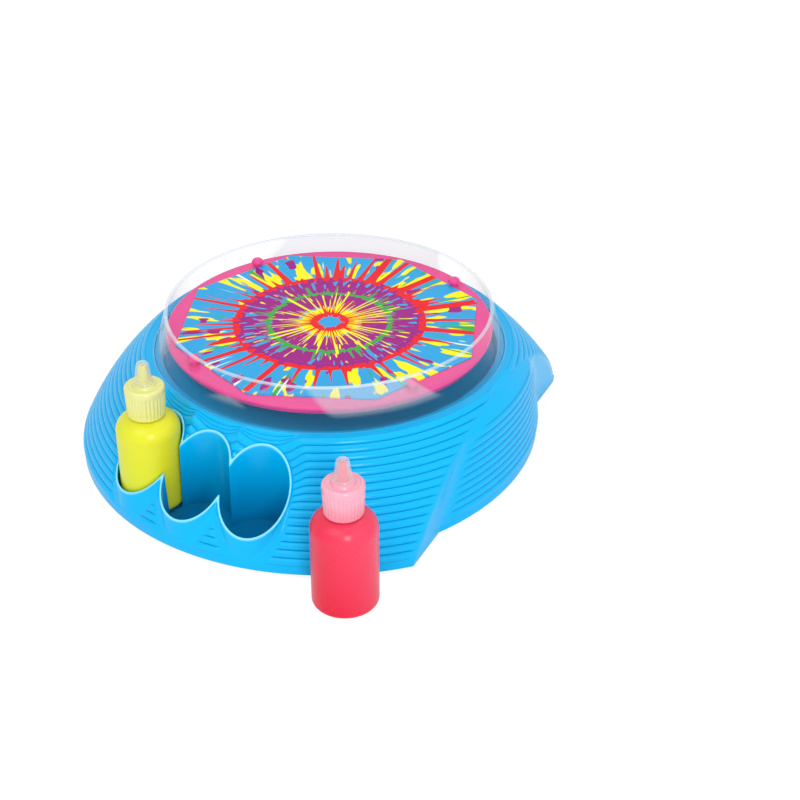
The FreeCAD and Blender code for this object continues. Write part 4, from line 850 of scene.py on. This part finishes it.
coats = [
    (blots(11.0, 0.045, 3.1, 0.42) * from_middle.over(50.0, 4.0), paint_yellow),
    (blots(24.0, 0.02, 12.0, 0.34) * from_middle.over(56.0, 3.0), paint_green),
    (blots(9.0, 0.06, 8.4, 0.34) * annulus(52.0, 92.0, tongues(9.0, 1.2, 12.0), 0.0), paint_purple),
    (blots(26.0, 0.015, 21.0, 0.3) * from_middle.over(63.0, 6.0), board_white),
    (annulus(44.0, 51.0, 0.0, tongues(16.0, 30.0, 30.0, 2.8)), paint_red),
    (annulus(17.0, 47.0, 0.0, tongues(20.0, 41.0, 4.0)), paint_purple),
    (blots(15.0, 0.07, 47.0, 0.4) * annulus(30.0, 45.5, 0.0, tongues(12.0, 44.0, 4.0)), paint_blue),
    (blots(19.0, 0.09, 53.0, 0.33) * annulus(25.0, 44.0, 0.0, tongues(12.0, 50.0, 4.0)), paint_yellow),
    (annulus(30.5, 33.0, tongues(18.0, 60.0, 1.5), tongues(22.0, 62.0, 8.0, 3.0)), paint_green),
    (annulus(0.0, 15.0, 0.0, tongues(17.0, 71.0, 20.0, 2.0)), paint_yellow),
    (annulus(0.0, 10.0, 0.0, tongues(19.0, 77.0, 15.0, 2.0)), paint_red),
    (annulus(0.0, 5.4, 0.0, tongues(5.0, 83.0, 2.5)), paint_blue),
    (blots(30.0, 0.03, 97.0, 0.27) * annulus(48.0, 90.0, tongues(9.0, 99.0, 18.0), 0.0), paint_red),
]
painted = paint_blue
for cover, colour in coats:
    painted = card_paint.mix(cover, painted, colour)
card_paint.feed("Base Color", painted)
card_paint.feed("Roughness", flung(12.0, 0.2, 110.0, 2.0) * 0.25 + 0.22)
card_paint.bump(coats[4][0] + coats[9][0] + coats[10][0] + flung(20.0, 0.1, 120.0, 2.0) * 0.5, 0.4, 0.0002)
dress(card_paint, "paint_card")


# Splash guard: one clear tapered ring in hard plastic with a polished rim. It lets light
# through and turns pale where it is seen edge on.
guard_clear = Finish("guard_clear", (0.66, 0.78, 0.86), 0.06, specular_ior_level=0.6)
guard_top = max(corner.co.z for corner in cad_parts["splash_guard"].data.vertices)
guard_height = guard_clear.along("Z")
edge_on = guard_clear.edge_on()
# Painted highlight: the guard turns paler in a band along its top edge.
painted_rim_highlight = guard_height.over(guard_top - 0.0009, 0.0006)
guard_clear.feed("Roughness", guard_clear.noise(30.0, 2.0) * 0.05 + 0.035)
# Painted reflections: pale patches of noise on the guard's upper part.
painted_sheen = guard_clear.noise(16.0, 0.0).over(0.55, 0.02) * guard_height.over(guard_top - 0.014, 0.003) * 0.16
guard_clear.see_through((edge_on ** 5.0 * 0.5 + painted_rim_highlight * 0.45 + painted_sheen + 0.012).clamped())
dress(guard_clear, "splash_guard")


# Paint bottles: soft squeeze bottles that show the colour of their paint. Each has a milky
# screw cap with grip ribs round it, a nozzle moulded on the cap, and a clear tip over that.
grip_count, grip_depth, sides_per_grip = 30, 0.42, 8
skirt_low, skirt_top, crown_top, nozzle_top = 50.3, 66.3, 67.9, 77.5
thread_bore, cap_roof, cap_foot, cap_shoulder = 7.1, 59.1, 9.35, 10.1
grips = Tree("cap_grips", count=float(grip_count), depth=grip_depth * MM, low=(skirt_low + 0.8) * MM,
             high=(skirt_top - 2.8) * MM, blend=0.9 * MM, inner=8.8 * MM)
place = grips.node("GeometryNodeInputPosition")
parts = grips.node("ShaderNodeSeparateXYZ", None, {0: place}).node.outputs
flat_spot = grips.node("ShaderNodeCombineXYZ", None, {0: parts["X"], 1: parts["Y"], 2: 0.0})
radial = grips.node("ShaderNodeVectorMath", {"operation": "NORMALIZE"}, {0: flat_spot})
far_out = grips.node("ShaderNodeVectorMath", {"operation": "LENGTH"}, {0: flat_spot}, out="Value")
turn = grips.maths("ARCTAN2", parts["Y"], parts["X"])
given = grips.given
wave = grips.maths("COSINE", grips.maths("MULTIPLY", turn, given["count"]))
tooth = grips.maths("POWER", grips.maths("MULTIPLY_ADD", wave, 0.5, 0.5), 0.6)
rise_in = grips.maths("DIVIDE", grips.maths("SUBTRACT", parts["Z"], given["low"]), given["blend"])
fall_out = grips.maths("DIVIDE", grips.maths("SUBTRACT", given["high"], parts["Z"]), given["blend"])
blended = grips.maths("MINIMUM", grips.maths("MINIMUM", rise_in, fall_out), 1.0)
outer_side = grips.maths("GREATER_THAN", far_out, given["inner"])
on_skirt = grips.maths("MULTIPLY", grips.maths("MAXIMUM", blended, 0.0), outer_side)
sunk = grips.maths("MULTIPLY", grips.maths("SUBTRACT", tooth, 1.0), on_skirt)
sunk = grips.maths("MULTIPLY", sunk, given["depth"])
gripped = grips.node("GeometryNodeSetPosition", None, {"Geometry": grips.given["Geometry"],
                                                       "Offset": grips.scaled(radial, sunk)})
grips.end(gripped, base_plastic)


def cap_outline():
    """Half section of the screw cap and its nozzle, from the mouth of the thread outwards."""
    flare = (cap_shoulder - cap_foot) / (skirt_top - skirt_low)
    wall = [(cap_foot + flare * (height - skirt_low), height)
            for height in np.linspace(skirt_low + 0.5, skirt_top - 2.2, 26)]
    shoulder = [(cap_shoulder - 1.6 + 1.55 * math.cos(a), skirt_top - 1.35 + 1.9 * math.sin(a))
                for a in np.radians((12, 28, 44, 60, 76, 90))]
    return [(thread_bore, skirt_low), (cap_foot - 0.35, skirt_low), *wall, *shoulder,
            (8.1, skirt_top + 0.35), (7.8, skirt_top + 0.1), (6.0, skirt_top + 0.1), (5.6, crown_top - 0.9),
            (5.4, crown_top - 0.15), (5.1, crown_top), (3.7, crown_top), (3.3, crown_top + 0.3),
            (2.9, crown_top + 2.4), (1.75, nozzle_top - 0.3), (1.45, nozzle_top), (0.9, nozzle_top),
            (0.9, cap_roof), (thread_bore, cap_roof)]


def tip_outline():
    """Half section of the clear tip: a flared foot, a slim cone and a domed top."""
    low = crown_top + 0.05
    cone = [(3.5, low), (4.85, low), (5.0, low + 0.3), (4.8, low + 0.75), (4.45, low + 1.3),
            (4.15, low + 2.6), (3.75, low + 5.2), (3.4, low + 8.0), (3.2, low + 9.4)]
    dome = [(3.2 * math.cos(a), low + 9.4 + 2.55 * math.sin(a)) for a in np.radians((15, 32, 50, 68, 82))]
    hollow = [(0.0, low + 9.95), (1.3, low + 9.85), (1.75, low + 9.5), (1.95, low + 8.6), (3.1, low + 2.3)]
    return cone + dome + [(0.0, low + 11.95)] + hollow


flasks = {
    "yellow": ((0.71, 0.70, 0.018), (0.62, 0.68, 0.018), (0.70, 0.70, 0.27), (0.70, 0.68, 0.05)),
    "red": ((0.76, 0.04, 0.10), (0.68, 0.004, 0.035), (0.80, 0.37, 0.47), (0.76, 0.05, 0.12)),
}
for name, (body, deep, milky, core) in flasks.items():
    low_corner, high_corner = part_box(name + "_bottle")
    foot = [(low_corner[0] + high_corner[0]) / 2, (low_corner[1] + high_corner[1]) / 2, low_corner[2]]

    bottle_plastic = Finish(name + "_bottle_plastic", body, 0.3, specular_ior_level=0.35)
    height = bottle_plastic.along("Z")
    side = bottle_plastic.along("X")
    # Painted shade: the bottle's colour is deeper towards its bottom and its left side, with some random
    # variation.
    painted_shade_ramp = (height - foot[2] - 0.03) * 14.0 + (side - foot[0]) * 26.0 + bottle_plastic.noise(35.0) * 0.4
    bottle_plastic.feed("Base Color", bottle_plastic.mix((painted_shade_ramp + 0.35).clamped(), deep, body))
    bottle_plastic.feed("Roughness", bottle_plastic.noise(60.0, 3.0) * 0.1 + 0.23)
    bottle_plastic.bump(bottle_plastic.noise(1600.0), 0.15, 0.00003)
    dress(bottle_plastic, name + "_bottle")
    paint_fill = moulded(name + "_paint", deep, deep, roughness=0.2)
    dress(paint_fill, name + "_paint")

    cap_plastic = Finish(name + "_cap_plastic", milky, 0.25, specular_ior_level=0.6)
    tint_height = cap_plastic.along("Z")
    in_nozzle = tint_height.over(foot[2] + (crown_top + 0.5) * MM, 0.0008)
    low_tint = 1.0 - tint_height.over(foot[2] + (skirt_low + 5.0) * MM, 0.009)
    wall_tint = cap_plastic.mix(low_tint * 0.45 + cap_plastic.noise(240.0, 2.0) * 0.12, milky, core)
    cap_plastic.feed("Base Color", cap_plastic.mix(in_nozzle, wall_tint, core))
    cap_plastic.feed("Roughness", cap_plastic.noise(90.0, 2.0) * 0.1 + 0.2)
    cap_plastic.bump(cap_plastic.noise(900.0), 0.15, 0.00003)
    points, faces = turned(cap_outline(), grip_count * sides_per_grip)
    cap = mesh_object(name + "_screw_cap", points, faces, cap_plastic)
    grips.apply(cap)
    cap.data.materials.clear()
    cap.data.materials.append(cap_plastic.material)
    cap.data.polygons.foreach_set("material_index", [0] * len(cap.data.polygons))
    cap.data.transform(Matrix.Translation(foot))
    cap.data.set_sharp_from_angle(angle=sharp_angle)
    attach(cap, name + "_cap_body")
    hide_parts(name + "_cap")

    pale = tuple(0.5 + 0.5 * part for part in milky)
    tip_clear = Finish(name + "_tip_clear", pale, 0.1, specular_ior_level=0.9)
    tip_edge = tip_clear.edge_on()
    tip_clear.feed("Roughness", tip_clear.noise(120.0, 2.0) * 0.1 + 0.06)
    tip_clear.see_through((tip_edge ** 2.0 * 0.6 + 0.22).clamped())
    points, faces = turned(tip_outline(), tip_sides)
    tip = mesh_object(name + "_clear_tip", points, faces, tip_clear)
    tip.data.transform(Matrix.Translation(foot))
    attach(tip, name + "_tip_body")
    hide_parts(name + "_tip")


# Studio: a white floor that keeps the object's soft shadow, a white surround, a large key
# light above the camera and to its left, a fill on the right, one behind, and a tall
# window light in front that draws the highlights on the ribs and on the guard. The
# surround lights matt surfaces less brightly than it is seen.
light_aim = Vector((0.0, 0.0, 0.03))


def light(name, size, power, place, tall=None):
    lamp = bpy.data.lights.new(name, "AREA")
    lamp.shape = "RECTANGLE"
    lamp.size, lamp.size_y = size, tall or size
    lamp.energy = power
    thing = bpy.data.objects.new(name, lamp)
    thing.location = place
    thing.rotation_euler = (Vector(place) - light_aim).to_track_quat("Z", "Y").to_euler()
    scene.collection.objects.link(thing)


light("key", 0.9, 4.6, (-0.55, -0.75, 1.25))
light("fill", 0.8, 0.9, (0.95, -0.65, 0.85))
light("top", 1.0, 2.6, (0.1, 0.35, 1.4))
light("window", 0.26, 5.6, (0.26, -1.2, 0.60), tall=0.5)

world = bpy.data.worlds.new("surround")
scene.world = world
world.use_nodes = True
sky = world.node_tree.nodes["Background"]
sky.inputs["Color"].default_value = (1.0, 1.0, 1.0, 1.0)
path = world.node_tree.nodes.new("ShaderNodeLightPath")
diffuse_strength = 0.73
strength = None
for kind in ("Is Camera Ray", "Is Glossy Ray", "Is Transmission Ray"):
    brighter = world.node_tree.nodes.new("ShaderNodeMath")
    brighter.operation = "MAXIMUM"
    brighter.inputs[1].default_value = diffuse_strength
    world.node_tree.links.new(path.outputs[kind], brighter.inputs[0])
    if strength:
        world.node_tree.links.new(strength, brighter.inputs[1])
    strength = brighter.outputs[0]
world.node_tree.links.new(strength, sky.inputs["Strength"])

floor_paint = Finish("floor", (0.93, 0.93, 0.93), 0.9)
glow = floor_paint.node("ShaderNodeEmission", None, {"Strength": 1.1})
glow_share = floor_paint.node("ShaderNodeLightPath", out="Is Camera Ray") * 0.78
lit_floor = Wire(floor_paint, floor_paint.shader.outputs[0])
blend = floor_paint.node("ShaderNodeMixShader", None, {0: glow_share, 1: lit_floor, 2: glow})
floor_paint.tree.links.new(blend.socket, floor_paint.tree.nodes["Material Output"].inputs["Surface"])
floor_reach = 6000.0
floor_corners = [(x * floor_reach, y * floor_reach, 0) for x, y in ((-1, -1), (1, -1), (1, 1), (-1, 1))]
floor = mesh_object("floor", floor_corners, [(0, 1, 2, 3)], floor_paint)
